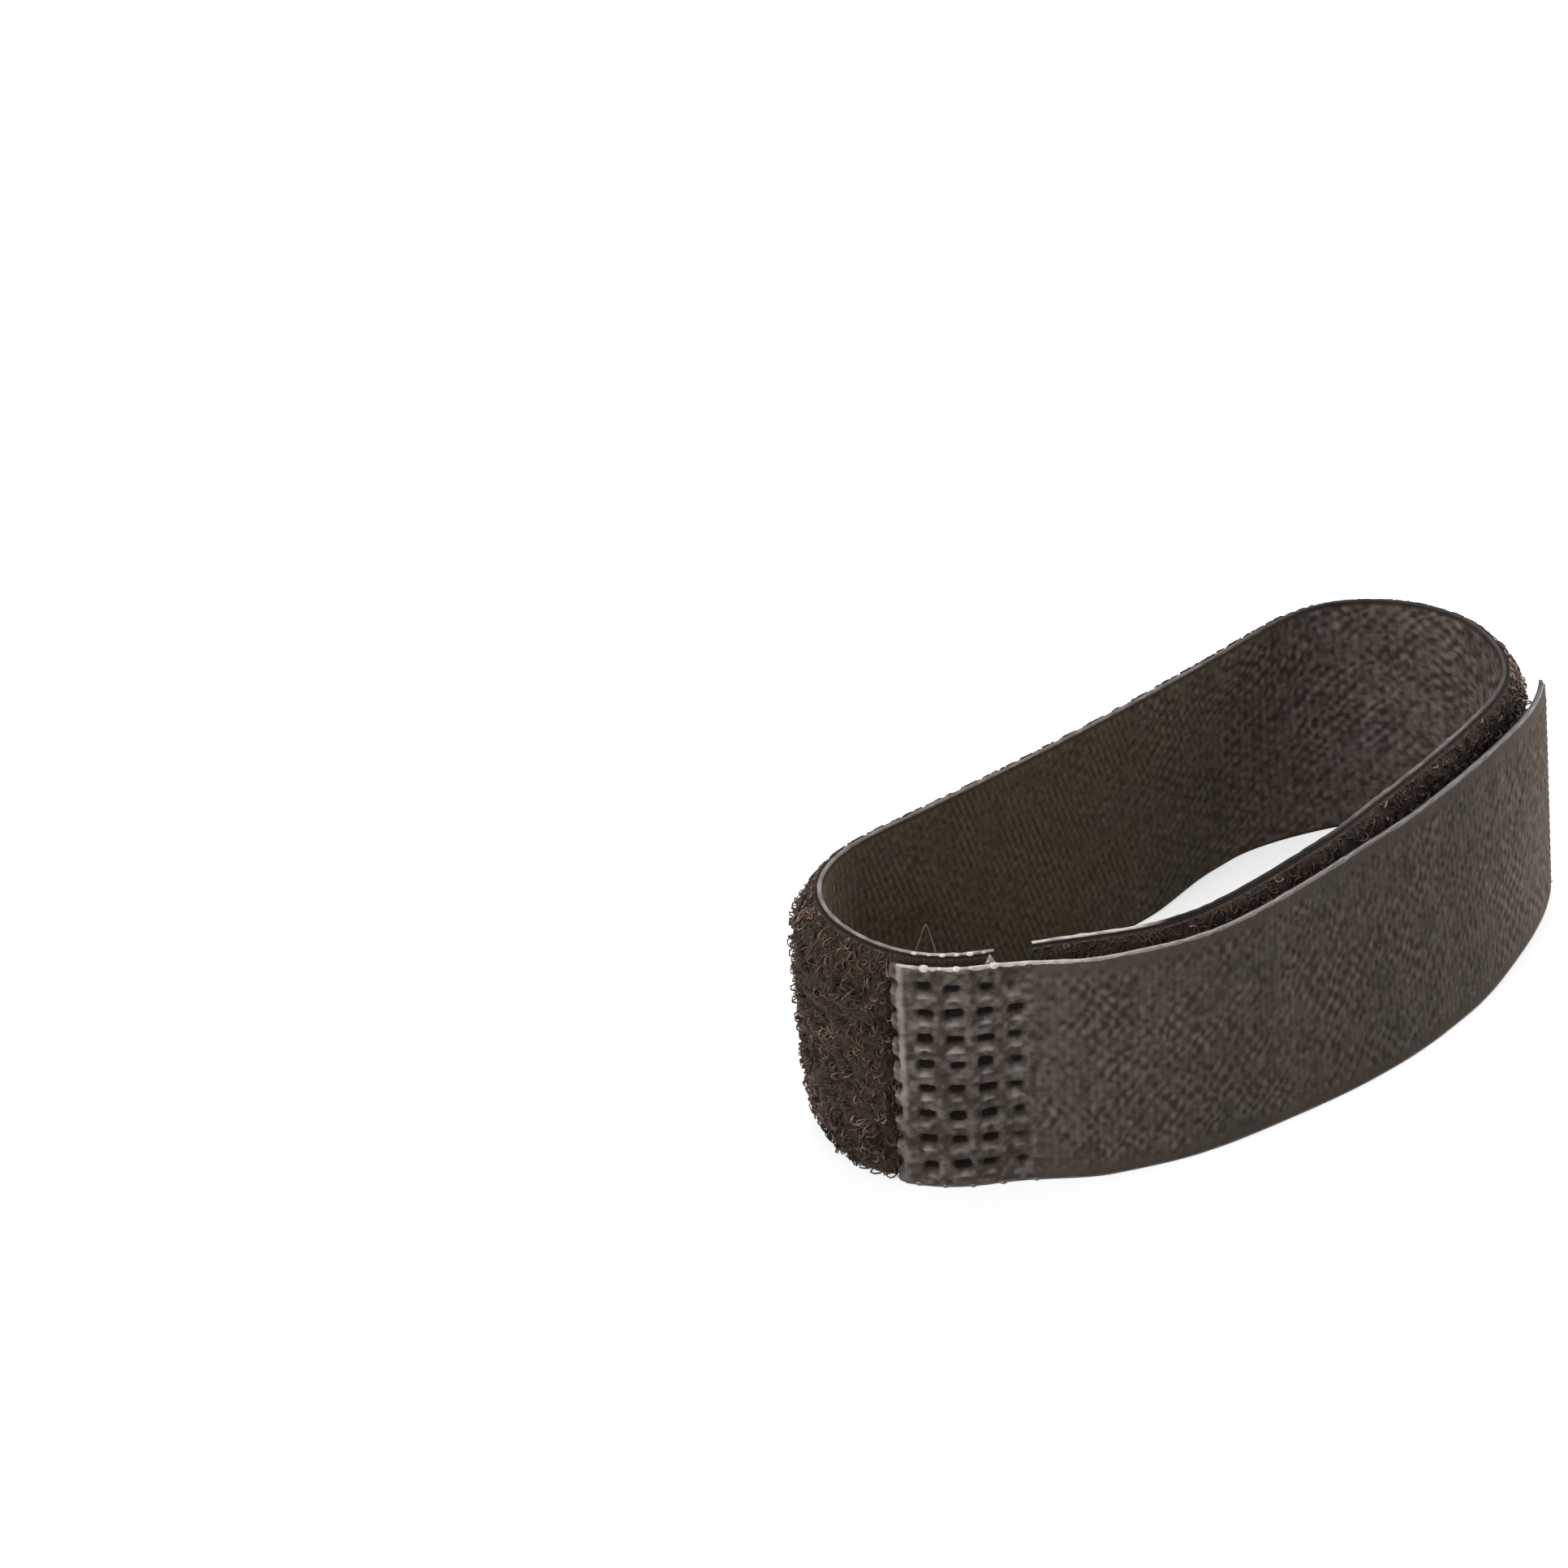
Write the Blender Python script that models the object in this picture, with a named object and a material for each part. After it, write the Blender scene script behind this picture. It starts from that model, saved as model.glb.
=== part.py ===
"""Hook and loop cable tie, fastened into a loop and standing on its edge.

Two tapes make the tie. The loop tape has a woven backing inside and a pile of
loops outside. The hook tape is welded over one end of it, reaches across the
gap between the loop tape's two ends, and lies on the pile with its hooks.

Both tapes are first built flat: X along the tape, Y across its width and Z
through its thickness, away from the inside of the loop. bend() then lays each
vertex round the closed outline that the tie takes.
Metres, +Z up. +X runs along the loop, from the weld towards the far bend, and
the hook tape is on the -Y side. The tie stands on its lower edges at z = 0.
"""
import math

import bmesh
import bpy
import numpy as np
from mathutils import Matrix, Vector

MM = 0.001

# The tie, laid out flat
TIE_LENGTH = 203.2 * MM        # both tapes, end to end
TAPE_WIDTH = 19.05 * MM
HOOK_TAPE_LENGTH = 67.6 * MM
WELD_LENGTH = 6.8 * MM         # how far the tapes overlap at the weld
BACKING = 0.5 * MM             # thickness of either woven backing
PILE = 1.6 * MM                # height of the loops that nothing presses
PRESSED_PILE = 1.05 * MM       # the same under the hooks
MELTED_PILE = 0.4 * MM         # the same in the weld
SELVAGE = 1.0 * MM             # bare edge of either tape
CLEARANCE = 0.3 * MM           # between the two tapes

# The pile's surface and the hooks
TUFT_PITCH = 1.25 * MM
TUFT_DEPTH = 0.55              # how far a hollow sinks, as a share of the pile
TUFT_SCATTER = 0.22            # how far a tuft strays, as a share of the pitch
HOOK_HEIGHT = 0.9 * MM
HOOK_THICKNESS = 0.34 * MM
HOOK_PITCH = 2.5 * MM          # along the tape
HOOK_CURL = ((0.0, 0.55, 0.8), (0.25, 1.0, 0.8), (0.7, 0.72, 0.5))   # over, up, share of thickness

# The weld's pits
ROW_PITCH = 2.2 * MM           # of the pits across the tape, and of the hooks
HOOK_SELVAGE = 0.7 * MM        # the least edge that the rows leave bare
PIT_COLUMNS = 4
PIT_COLUMN_PITCH = 2.3 * MM
FIRST_PIT_COLUMN = 1.9 * MM    # from the hook tape's end to the middle of a pit
PIT_RIM = 0.6 * MM             # from a pit to the edge of its cell
PIT_FLOOR = 0.62               # size of its floor, as a share of its mouth
PIT_DEPTH = 0.28 * MM

# The hook tape's cut ends
NOTCH_DEPTH = 0.45 * MM        # what the cut leaves of one more column of pits
END_TOOTH = 0.3 * MM           # how far the free end's teeth reach

# The outline that the loop takes, at the inside of the loop tape's upper edge
END_GAP = 2.7 * MM             # between the loop tape's two ends
WELD_BEND_RADIUS = 8.9 * MM
FAR_BEND_RADIUS = 9.6 * MM
NEAR_BEND_RADIUS = 13.1 * MM   # the gentle bend where the hook tape starts to lie flat
NEAR_BEND_PLACE = 0.3          # share of the way from the weld bend to the far bend
NEAR_BEND_SET_OUT = 1.05 * MM  # its centre, out from the line between the end bends
NEAR_WALL_BOW = 119.0 * MM     # radius; bulges out
FAR_WALL_BOW = 312.0 * MM      # radius; sags in
SEAM_PLACE = 0.19              # share of the wall from the weld bend to the near bend
EASE = 2.0 * MM                # how softly one bend runs into the next
NEAR_WALL_LEAN = 1.7 * MM      # how far the lower edges stand out, towards -Y
FAR_WALL_LEAN = 0.8 * MM
LEAN_ALONG = 0.8 * MM          # how far the lower edges stand towards +X
STEP_UP_BEFORE = 0.27 * MM     # the hook tape starts to step up to the pile before the weld's end
STEP_UP_AFTER = 0.8 * MM       # and ends past the start of the loop tape
PILE_RISE_START = 0.8 * MM     # the pile starts to rise clear of the hook tape
PILE_RISE_END = 3.2 * MM       # and has its full height
HOOK_END_LIFT = 0.6 * MM       # how far the hook tape's free end stands off
HOOK_END_LIFT_LENGTH = 9.0 * MM

ROWS = int((TAPE_WIDTH - 2 * HOOK_SELVAGE) / ROW_PITCH)
LOOP_TAPE_LENGTH = TIE_LENGTH - HOOK_TAPE_LENGTH + WELD_LENGTH
OUTLINE_LENGTH = LOOP_TAPE_LENGTH + END_GAP
WELD_STACK = BACKING + MELTED_PILE + CLEARANCE
LAID_STACK = BACKING + PRESSED_PILE + CLEARANCE + HOOK_HEIGHT
OUTLINE_POINTS = 2400
TOUCH = 0.01 * MM              # two places nearer than this are one


def ease(x, start, end):
    """0 before start, 1 after end and a smooth step between them."""
    x = min(max((x - start) / (end - start), 0.0), 1.0)
    return x * x * (3.0 - 2.0 * x)


def arc(centre, start, end, turn):
    """Points from start towards end round a centre; turn is +1 or -1."""
    a = math.atan2(*(start - centre)[::-1])
    b = math.atan2(*(end - centre)[::-1])
    while (b - a) * turn < 0.0:
        b += 2.0 * math.pi * turn
    angles = np.linspace(a, b, 240, endpoint=False)
    return centre + np.linalg.norm(start - centre) * np.c_[np.cos(angles), np.sin(angles)]


def wall(a, ra, b, rb, radius):
    """The wall that leaves bend a and meets bend b, touching both.

    radius is None for a straight wall, positive for one that bulges outwards
    and negative for one that sags inwards. Returns its points and two ends.
    """
    length = np.linalg.norm(b - a)
    along = (b - a) / length
    outward = np.array([along[1], -along[0]])
    if radius is None:
        slope = (ra - rb) / length
        side = outward * math.sqrt(1.0 - slope * slope) + along * slope
        start, end = a + side * ra, b + side * rb
        return start + np.linspace(0, 1, 120, endpoint=False)[:, None] * (end - start), start, end
    turn = math.copysign(1.0, radius)
    to_a, to_b = abs(radius - ra), abs(radius - rb)
    x = (to_a ** 2 - to_b ** 2 + length ** 2) / (2.0 * length)
    centre = a + along * x - outward * turn * math.sqrt(to_a ** 2 - x * x)
    start = a + (a - centre) / to_a * turn * ra
    end = b + (b - centre) / to_b * turn * rb
    return arc(centre, start, end, turn), start, end


def outline(length):
    """Even points round the loop for one distance between its end bends.

    They start on the first wall, at the seam between the loop tape's ends.
    """
    bends = [(np.array([0.0, 0.0]), WELD_BEND_RADIUS),
             (np.array([NEAR_BEND_PLACE * length, -NEAR_BEND_SET_OUT]), NEAR_BEND_RADIUS),
             (np.array([length, 0.0]), FAR_BEND_RADIUS)]
    walls = [wall(*bends[i], *bends[(i + 1) % 3], bow)
             for i, bow in enumerate((None, NEAR_WALL_BOW, -FAR_WALL_BOW))]
    seam = int(SEAM_PLACE * len(walls[0][0]))
    runs = [walls[0][0][seam:]]
    for i in range(3):
        centre = bends[(i + 1) % 3][0]
        runs.append(arc(centre, walls[i][2], walls[(i + 1) % 3][1], 1.0))
        runs.append(walls[(i + 1) % 3][0][:seam] if i == 2 else walls[i + 1][0])
    points = np.vstack(runs)
    points = np.vstack([points, points[:1]])
    travelled = np.r_[0.0, np.cumsum(np.linalg.norm(np.diff(points, axis=0), axis=1))]
    even = np.linspace(0.0, travelled[-1], OUTLINE_POINTS, endpoint=False)
    points = np.c_[np.interp(even, travelled, points[:, 0]), np.interp(even, travelled, points[:, 1])]
    reach = int(3.0 * EASE / (travelled[-1] / OUTLINE_POINTS))
    steps = np.arange(-reach, reach + 1)
    weights = np.exp(-0.5 * (3.0 * steps / reach) ** 2)
    points = sum(w * np.roll(points, k, axis=0) for w, k in zip(weights / weights.sum(), steps))
    loop = np.vstack([points, points[:1]])
    return points, np.linalg.norm(np.diff(loop, axis=0), axis=1).sum()


def fitted_outline():
    """The outline whose length takes the loop tape and the gap."""
    low, high = 0.05 * OUTLINE_LENGTH, 0.5 * OUTLINE_LENGTH
    for _ in range(40):
        middle = 0.5 * (low + high)
        if outline(middle)[1] < OUTLINE_LENGTH:
            low = middle
        else:
            high = middle
    return outline(middle)[0]


PATH = fitted_outline()
TANGENT = np.roll(PATH, -1, axis=0) - np.roll(PATH, 1, axis=0)
TANGENT /= np.linalg.norm(TANGENT, axis=1)[:, None]
OUTWARD = np.c_[TANGENT[:, 1], -TANGENT[:, 0]]
NEAR_Y, FAR_Y = PATH[:, 1].min(), PATH[:, 1].max()
LEFT_X, RIGHT_X = PATH[:, 0].min(), PATH[:, 0].max()


def around(s, t):
    """The plan point at a distance s round the outline and t outside it.

    s = 0 is the middle of the gap between the loop tape's ends. From there the
    outline goes along the near wall, the far bend, the far wall and the weld bend.
    """
    place = (s / OUTLINE_LENGTH % 1.0) * OUTLINE_POINTS
    i, share = int(place) % OUTLINE_POINTS, place % 1.0
    k = (i + 1) % OUTLINE_POINTS
    return (1 - share) * (PATH[i] + t * OUTWARD[i]) + share * (PATH[k] + t * OUTWARD[k])


def bend(s, z, t):
    """The place in the finished tie of a point of a flat tape."""
    x, y = around(s, t)
    far = ease(y, NEAR_Y, FAR_Y)
    lean = NEAR_WALL_LEAN + far * (FAR_WALL_LEAN - NEAR_WALL_LEAN)
    lean *= ease(x, LEFT_X, 0.5 * (LEFT_X + RIGHT_X))
    down = 1.0 - z / TAPE_WIDTH
    return Vector((x + down * LEAN_ALONG, y - down * lean, z))


def laid_stack(s):
    """How far the hook tape's inner side stands outside the outline."""
    up = ease(s, -0.5 * END_GAP - STEP_UP_BEFORE, 0.5 * END_GAP + STEP_UP_AFTER)
    return WELD_STACK + (LAID_STACK - WELD_STACK) * up


def lay_hook_tape():
    """Distances along the hook tape, and the outline's where each comes to lie.

    The hook tape lies outside the outline, so its length goes less far round.
    """
    s = -0.5 * END_GAP - WELD_LENGTH
    step = OUTLINE_LENGTH / OUTLINE_POINTS
    along, places = [0.0], [s]
    while along[-1] < HOOK_TAPE_LENGTH + 2.0 * END_TOOTH:
        here = around(s, laid_stack(s) + 0.5 * BACKING)
        there = around(s + step, laid_stack(s) + 0.5 * BACKING)
        s += step
        along.append(along[-1] + float(np.linalg.norm(there - here)))
        places.append(s)
    return np.array(along), np.array(places)


ALONG_HOOK_TAPE, HOOK_TAPE_PLACES = lay_hook_tape()
HOOK_TAPE_END = float(np.interp(HOOK_TAPE_LENGTH, ALONG_HOOK_TAPE, HOOK_TAPE_PLACES))
COVERED = HOOK_TAPE_END - 0.5 * END_GAP   # how much of the loop tape the hooks reach


def slab(stations, lines, thickness):
    """A flat tape, ruled into cells by stations along it and lines across."""
    bm = bmesh.new()
    bmesh.ops.create_grid(bm, x_segments=len(stations) - 1, y_segments=len(lines) - 1, size=0.5)
    for vert in bm.verts:
        vert.co.x = stations[round((vert.co.x + 0.5) * (len(stations) - 1))]
        vert.co.y = lines[round((vert.co.y + 0.5) * (len(lines) - 1))]
    upper = bmesh.ops.extrude_face_region(bm, geom=bm.faces[:])["geom"]
    bmesh.ops.translate(bm, vec=(0.0, 0.0, thickness),
                        verts=[v for v in upper if isinstance(v, bmesh.types.BMVert)])
    bmesh.ops.recalc_face_normals(bm, faces=bm.faces)
    bm.normal_update()
    return bm


def finish(bm, name, colour, roughness):
    """Bend the flat tape round the outline and make it an object."""
    for vert in bm.verts:
        vert.co = bend(*vert.co)
    mesh = bpy.data.meshes.new(name)
    bm.to_mesh(mesh)
    bm.free()
    material = bpy.data.materials.new(name)
    material.use_nodes = True
    shader = material.node_tree.nodes["Principled BSDF"]
    shader.inputs["Base Color"].default_value = (*colour, 1.0)
    shader.inputs["Roughness"].default_value = roughness
    mesh.materials.append(material)
    tape = bpy.data.objects.new(name, mesh)
    bpy.context.scene.collection.objects.link(tape)
    return tape


def pile_height(along):
    """The pile's height, at a distance along the loop tape."""
    if along > 0.5 * LOOP_TAPE_LENGTH:
        pressed, open_from = MELTED_PILE, LOOP_TAPE_LENGTH - WELD_LENGTH - along
    else:
        pressed, open_from = PRESSED_PILE, along - COVERED
    return pressed + (PILE - pressed) * ease(open_from, PILE_RISE_START, PILE_RISE_END)


def raise_tufts(bm, stations, lines):
    """Turn the outer side between the selvages into tufts and hollows."""
    rng = np.random.default_rng(7)
    outer = [v for v in bm.verts
             if v.co.z > 0.5 * BACKING and lines[1] + TOUCH < v.co.y < lines[-2] - TOUCH]
    row_pitch, column_pitch = stations[1] - stations[0], lines[3] - lines[2]
    for vert in sorted(outer, key=lambda v: (v.co.x, v.co.y)):
        row, column = round(vert.co.x / row_pitch), round((vert.co.y - lines[1]) / column_pitch)
        sunk = TUFT_DEPTH * (0.62 * ((row + column) % 2) + 0.38 * rng.random())
        vert.co.z += pile_height(vert.co.x) * (1.0 - sunk)
        if 0 < row < len(stations) - 1:
            vert.co.x += TUFT_SCATTER * row_pitch * rng.uniform(-1, 1)
        vert.co.y += TUFT_SCATTER * column_pitch * rng.uniform(-1, 1)
    # split each face from hollow to hollow, so that every tuft is a peak
    for face in [f for f in bm.faces if f.normal.z > 0.5 and len(f.verts) == 4]:
        depths = [v.co.z for v in face.verts]
        first = 0 if depths[0] + depths[2] < depths[1] + depths[3] else 1
        bmesh.utils.face_split(face, face.verts[first], face.verts[first + 2])


def loop_tape():
    rows = round(LOOP_TAPE_LENGTH / TUFT_PITCH)
    columns = round((TAPE_WIDTH - 2 * SELVAGE) / TUFT_PITCH)
    stations = np.linspace(0.0, LOOP_TAPE_LENGTH, rows + 1)
    lines = [0.0, *np.linspace(SELVAGE, TAPE_WIDTH - SELVAGE, columns + 1), TAPE_WIDTH]
    bm = slab(stations, lines, BACKING)
    # the inner side and the ends are plain: one face from edge to edge
    spare = [e for e in bm.edges
             if all(SELVAGE - TOUCH < v.co.y < TAPE_WIDTH - SELVAGE + TOUCH for v in e.verts)
             and abs(e.verts[0].co.y - e.verts[1].co.y) < TOUCH and min(v.co.z for v in e.verts) < TOUCH]
    bmesh.ops.dissolve_edges(bm, edges=spare, use_verts=True)
    raise_tufts(bm, stations, lines)
    for vert in bm.verts:
        vert.co.x += 0.5 * END_GAP
    return finish(bm, "loop_tape", (0.036, 0.026, 0.022), 0.95)


def stand_off(along):
    """How far the hook tape's inner side stands out, at a distance along it."""
    lift = ease(along, HOOK_TAPE_LENGTH - HOOK_END_LIFT_LENGTH, HOOK_TAPE_LENGTH)
    place = float(np.interp(along, ALONG_HOOK_TAPE, HOOK_TAPE_PLACES))
    return laid_stack(place) + lift * HOOK_END_LIFT


def sink_pit(bm, cell):
    """A square pit that the weld presses into one cell of the outer side."""
    bmesh.ops.inset_individual(bm, faces=[cell], thickness=PIT_RIM)
    floor = bmesh.ops.extrude_discrete_faces(bm, faces=[cell])["faces"][0]
    centre = floor.calc_center_median()
    for vert in floor.verts:
        vert.co = centre + PIT_FLOOR * (vert.co - centre)
        vert.co.z -= PIT_DEPTH


def grow_hook(bm, cell, lean):
    """A hook that stands on one cell of the inner side and curls over along the tape."""
    foot = cell.calc_center_median()
    bmesh.ops.inset_individual(bm, faces=[cell], thickness=0.5 * (ROW_PITCH - HOOK_THICKNESS))
    corners = [Vector((math.copysign(0.5, v.co.x - foot.x), math.copysign(0.5, v.co.y - foot.y), 0.0))
               for v in cell.verts]
    for vert, corner in zip(cell.verts, corners):
        vert.co = foot + HOOK_THICKNESS * corner
    for over, up, share in HOOK_CURL:
        cell = bmesh.ops.extrude_discrete_faces(bm, faces=[cell])["faces"][0]
        for vert, corner in zip(cell.verts, corners):
            vert.co = foot + share * HOOK_THICKNESS * corner
            vert.co.x += lean * over * HOOK_HEIGHT
            # the crown turns over: its leading side is lower than its back
            turned = over * lean * corner.x * share * HOOK_THICKNESS
            vert.co.z -= up * HOOK_HEIGHT - abs(turned) - turned


def shape_end(bm, x, cuts, shifts):
    """Cut every cell's end edge at x into equal parts, and move their ends along the tape."""
    ends = [e for e in bm.edges if all(abs(v.co.x - x) < TOUCH for v in e.verts)
            and abs(abs(e.verts[0].co.y - e.verts[1].co.y) - ROW_PITCH) < TOUCH]
    for edge in ends:
        low = min(v.co.y for v in edge.verts)
        new = bmesh.ops.subdivide_edges(bm, edges=[edge], cuts=cuts)["geom_inner"]
        for vert in [v for v in new if isinstance(v, bmesh.types.BMVert)]:
            vert.co.x += shifts[round((vert.co.y - low) / ROW_PITCH * (cuts + 1)) - 1]


def hook_tape():
    edge = 0.5 * (TAPE_WIDTH - ROWS * ROW_PITCH)
    lines = [0.0, *(edge + i * ROW_PITCH for i in range(ROWS + 1)), TAPE_WIDTH]
    weld_start = FIRST_PIT_COLUMN - 0.5 * PIT_COLUMN_PITCH
    weld_end = weld_start + PIT_COLUMNS * PIT_COLUMN_PITCH
    columns = round((HOOK_TAPE_LENGTH - weld_end) / HOOK_PITCH)
    stations = [0.0, *np.linspace(weld_start, weld_end, PIT_COLUMNS + 1)[:-1],
                *np.linspace(weld_end, HOOK_TAPE_LENGTH, columns + 1)]
    bm = slab(stations, lines, BACKING)
    cells = [f for f in bm.faces if abs(f.normal.z) > 0.5 and edge < f.calc_center_median().y < lines[-2]]
    for cell in cells:
        middle = cell.calc_center_median()
        row, column = int((middle.y - edge) / ROW_PITCH), np.searchsorted(stations, middle.x)
        if cell.normal.z > 0.0 and weld_start < middle.x < weld_end:
            sink_pit(bm, cell)
        elif cell.normal.z < 0.0 and weld_end < middle.x < stations[-2]:
            grow_hook(bm, cell, 1.0 if (row + column) % 2 else -1.0)
    shape_end(bm, 0.0, 4, (0.0, NOTCH_DEPTH, NOTCH_DEPTH, 0.0))
    shape_end(bm, HOOK_TAPE_LENGTH, 1, (END_TOOTH,))
    for vert in bm.verts:
        along = vert.co.x
        vert.co.x = np.interp(along, ALONG_HOOK_TAPE, HOOK_TAPE_PLACES)
        vert.co.z += stand_off(along)
    return finish(bm, "hook_tape", (0.085, 0.073, 0.064), 0.8)


for old in list(bpy.data.objects):
    bpy.data.objects.remove(old, do_unlink=True)
tapes = [loop_tape(), hook_tape()]

# the origin goes to the middle of the tie's base
points = np.array([v.co for tape in tapes for v in tape.data.vertices])
low, high = points.min(axis=0), points.max(axis=0)
for tape in tapes:
    tape.data.transform(Matrix.Translation((*(-0.5 * (low + high)[:2]), -low[2])))
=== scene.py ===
"""The looks of the hook and loop cable tie.

Each piece is first made flat, as its tape is cut: X along the tape, Y up across
its width and Z out from the inside of the loop, in metres. lay_loop() and
lay_hook() then put its points round the outline that the CAD's two tapes take.
"""

import math

import bpy
import numpy as np
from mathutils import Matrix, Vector


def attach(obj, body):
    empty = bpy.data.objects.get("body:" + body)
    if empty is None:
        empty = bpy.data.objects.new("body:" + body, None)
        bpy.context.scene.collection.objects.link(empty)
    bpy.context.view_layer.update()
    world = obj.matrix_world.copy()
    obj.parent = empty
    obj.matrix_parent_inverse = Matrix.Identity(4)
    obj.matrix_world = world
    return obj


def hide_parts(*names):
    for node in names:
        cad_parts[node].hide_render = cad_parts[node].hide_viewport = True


MM = 0.001
ACROSS = np.array([0.0, 1.0, 0.0])  # directions in the flat tape
OUT = np.array([0.0, 0.0, 1.0])

# The tie, as in the CAD
TIE_LENGTH = 203.2 * MM
TAPE_WIDTH = 19.05 * MM
HOOK_TAPE_LENGTH = 67.6 * MM
WELD_LENGTH = 6.8 * MM
BACKING = 0.5 * MM
PILE = 1.6 * MM
PRESSED_PILE = 1.05 * MM
MELTED_PILE = 0.4 * MM
CLEARANCE = 0.3 * MM
HOOK_HEIGHT = 0.9 * MM
HOOK_SELVAGE = 0.7 * MM
ROW_PITCH = 2.2 * MM  # of the weld's pits, and twice that of the hooks
PIT_COLUMNS = 4
FIRST_PIT_COLUMN = 1.9 * MM
END_GAP = 2.7 * MM  # between the loop tape's two ends
WELD_BEND_RADIUS = 8.9 * MM
FAR_BEND_RADIUS = 9.6 * MM
NEAR_BEND_RADIUS = 13.1 * MM
NEAR_BEND_PLACE = 0.3
NEAR_BEND_SET_OUT = 1.05 * MM
NEAR_WALL_BOW = 119.0 * MM
FAR_WALL_BOW = 312.0 * MM
SEAM_PLACE = 0.19  # of the first wall: where the outline starts
CORNER_SMOOTHING = 2.0 * MM
LEAN_ALONG = 0.8 * MM
STEP_UP_START = -2.4 * MM  # from the middle of the gap between the loop tape's ends
STEP_UP_END = 6.0 * MM
PILE_RISE_START = -1.8 * MM
PILE_RISE_END = 1.2 * MM
WELD_RISE_START = 0.2 * MM
WELD_RISE_END = 1.6 * MM
BOX_MIDDLE = np.array([22.340, -3.763]) * MM  # of the CAD's box, from the weld bend's centre
OUTLINE_POINTS = 2400

# Where the photograph's tie departs a little from the CAD
HOOK_END_LIFT = 0.1 * MM
HOOK_END_LIFT_LENGTH = 9.0 * MM
END_TRIM = 1.8 * MM  # the free end is cut this much short of the CAD's
HEAD = 0.45 * MM  # and the welded end reaches this much further
END_SLANT = 0.8 * MM  # the free end's upper corner is cut back this much more
END_SLANT_LENGTH = 6.0 * MM
SPREAD = (27.0 * MM, 34.0 * MM, 46.0 * MM, 54.0 * MM)  # where the tapes lie further apart
SPREAD_INWARD = 0.25 * MM
SPREAD_OUTWARD = 0.25 * MM
# How far in they lie, and the places between which that comes and goes
FAR_INWARD = (0.5 * MM, 60.0 * MM, 70.0 * MM, 118.0 * MM, 130.0 * MM)
START_INWARD = (0.75 * MM, -1.0 * MM, 11.0 * MM)
WELD_INWARD = (0.6 * MM, 124.0 * MM, 134.0 * MM)

ROWS = int((TAPE_WIDTH - 2 * HOOK_SELVAGE) / ROW_PITCH)
FIRST_ROW = 0.5 * (TAPE_WIDTH - (ROWS - 1) * ROW_PITCH)
LOOP_TAPE_LENGTH = TIE_LENGTH - HOOK_TAPE_LENGTH + WELD_LENGTH
OUTLINE_LENGTH = LOOP_TAPE_LENGTH + END_GAP
WELD_STACK = BACKING + MELTED_PILE + CLEARANCE
LAID_STACK = BACKING + PRESSED_PILE + CLEARANCE + HOOK_HEIGHT

# How far the lower edges lean towards the camera: at the weld, then what is added and
# taken off between two places along the loop's long axis
NEAR_LEAN = 0.2 * MM
NEAR_LEAN_RISE = (2.05 * MM, 9.0 * MM, 29.0 * MM)
NEAR_LEAN_FALL = (1.6 * MM, 36.0 * MM, 51.0 * MM)
FAR_LEAN = 0.9 * MM
FAR_LEAN_FALL = (0.9 * MM, 27.0 * MM, 35.0 * MM)
FAR_LEAN_RISE = (2.0 * MM, 37.0 * MM, 47.0 * MM)

# The weave of both backings
RIB_PITCH = 0.55 * MM  # of the yarns across the tape
YARN_PITCH = 0.7 * MM  # of the yarns along it
LOOP_RIB_PITCH = 0.72 * MM  # the loop tape's own weave
LOOP_YARN_PITCH = 0.52 * MM
YARN_RADIUS = 0.12 * MM
YARN_WAVE = 0.055 * MM  # how far a yarn rises over the ones it crosses
WEAVE_MARGIN = (0.2 * MM, 1.0 * MM)  # where the plain woven edge ends
HOOK_WEAVE_MARGIN = (0.8 * MM, 1.5 * MM)
EDGE_INSET = 0.1 * MM  # the edge yarn stands out past the backing
EDGE_ROUNDING = 0.16 * MM
HOOK_EDGE_ROUNDING = 0.14 * MM
EDGE_ROUNDING_WIDTH = 0.25 * MM
FLOAT_STAND = 0.02 * MM  # how far the highest yarns stand out of the backing
DARK_EDGE = (0.1 * MM, 0.45 * MM)  # the loop tape's backing is dark up to here
POINTS_PER_YARN = 4.0  # of the mesh
LOOP_POINTS_PER_YARN = 2.6
GROOVE_LIFT = 0.36  # the weave's lift where its colour is fully the painted shade of its grooves
PLAINER = (72.0 * MM, 100.0 * MM)  # the loop tape's weave shows less from here on
TWILL = 0.35  # how far the loop tape's fine lines lean over

# The pile
TUFT_PITCH = 0.68 * MM
LOOPS_PER_TUFT = (2, 4)  # at least, and fewer than
LOOP_SPAN = (0.14 * MM, 0.42 * MM)
LOOP_RADIUS = (0.045 * MM, 0.085 * MM)
LOOP_POINTS = 8
PILE_EDGE = 0.5 * MM  # from the tape's edge to the first tuft
LOW_PILE_EDGE = 0.3 * MM  # and from its lower edge
PILE_FOOT = 0.05 * MM  # the pile's height right at the tape's upper edge
PILE_SLOPE = 0.95  # and how fast it rises from there
# In mm: a place along the tape, the pile's height at the lower edge there, and how far up
# it rounds off
LOW_EDGE = ((0, 1.1, 2.2), (113, 1.1, 2.2), (120, 0.7, 7.0), (124, 0.5, 10.0), (128, 0.8, 9.0),
            (131.5, 2.1, 3.0), (142, 2.4, 2.0))
# It opens this much on the weld bend, and comes and goes between these places
BEND_PILE = (1.0 * MM, 116.0 * MM, 126.0 * MM, 134.2 * MM, 136.2 * MM)
TUFT_RISE = 0.45 * MM  # the tuft that springs up past the free end's upper corner
MAT_STEP = 0.42 * MM
PILE_PIECES = 4

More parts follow.
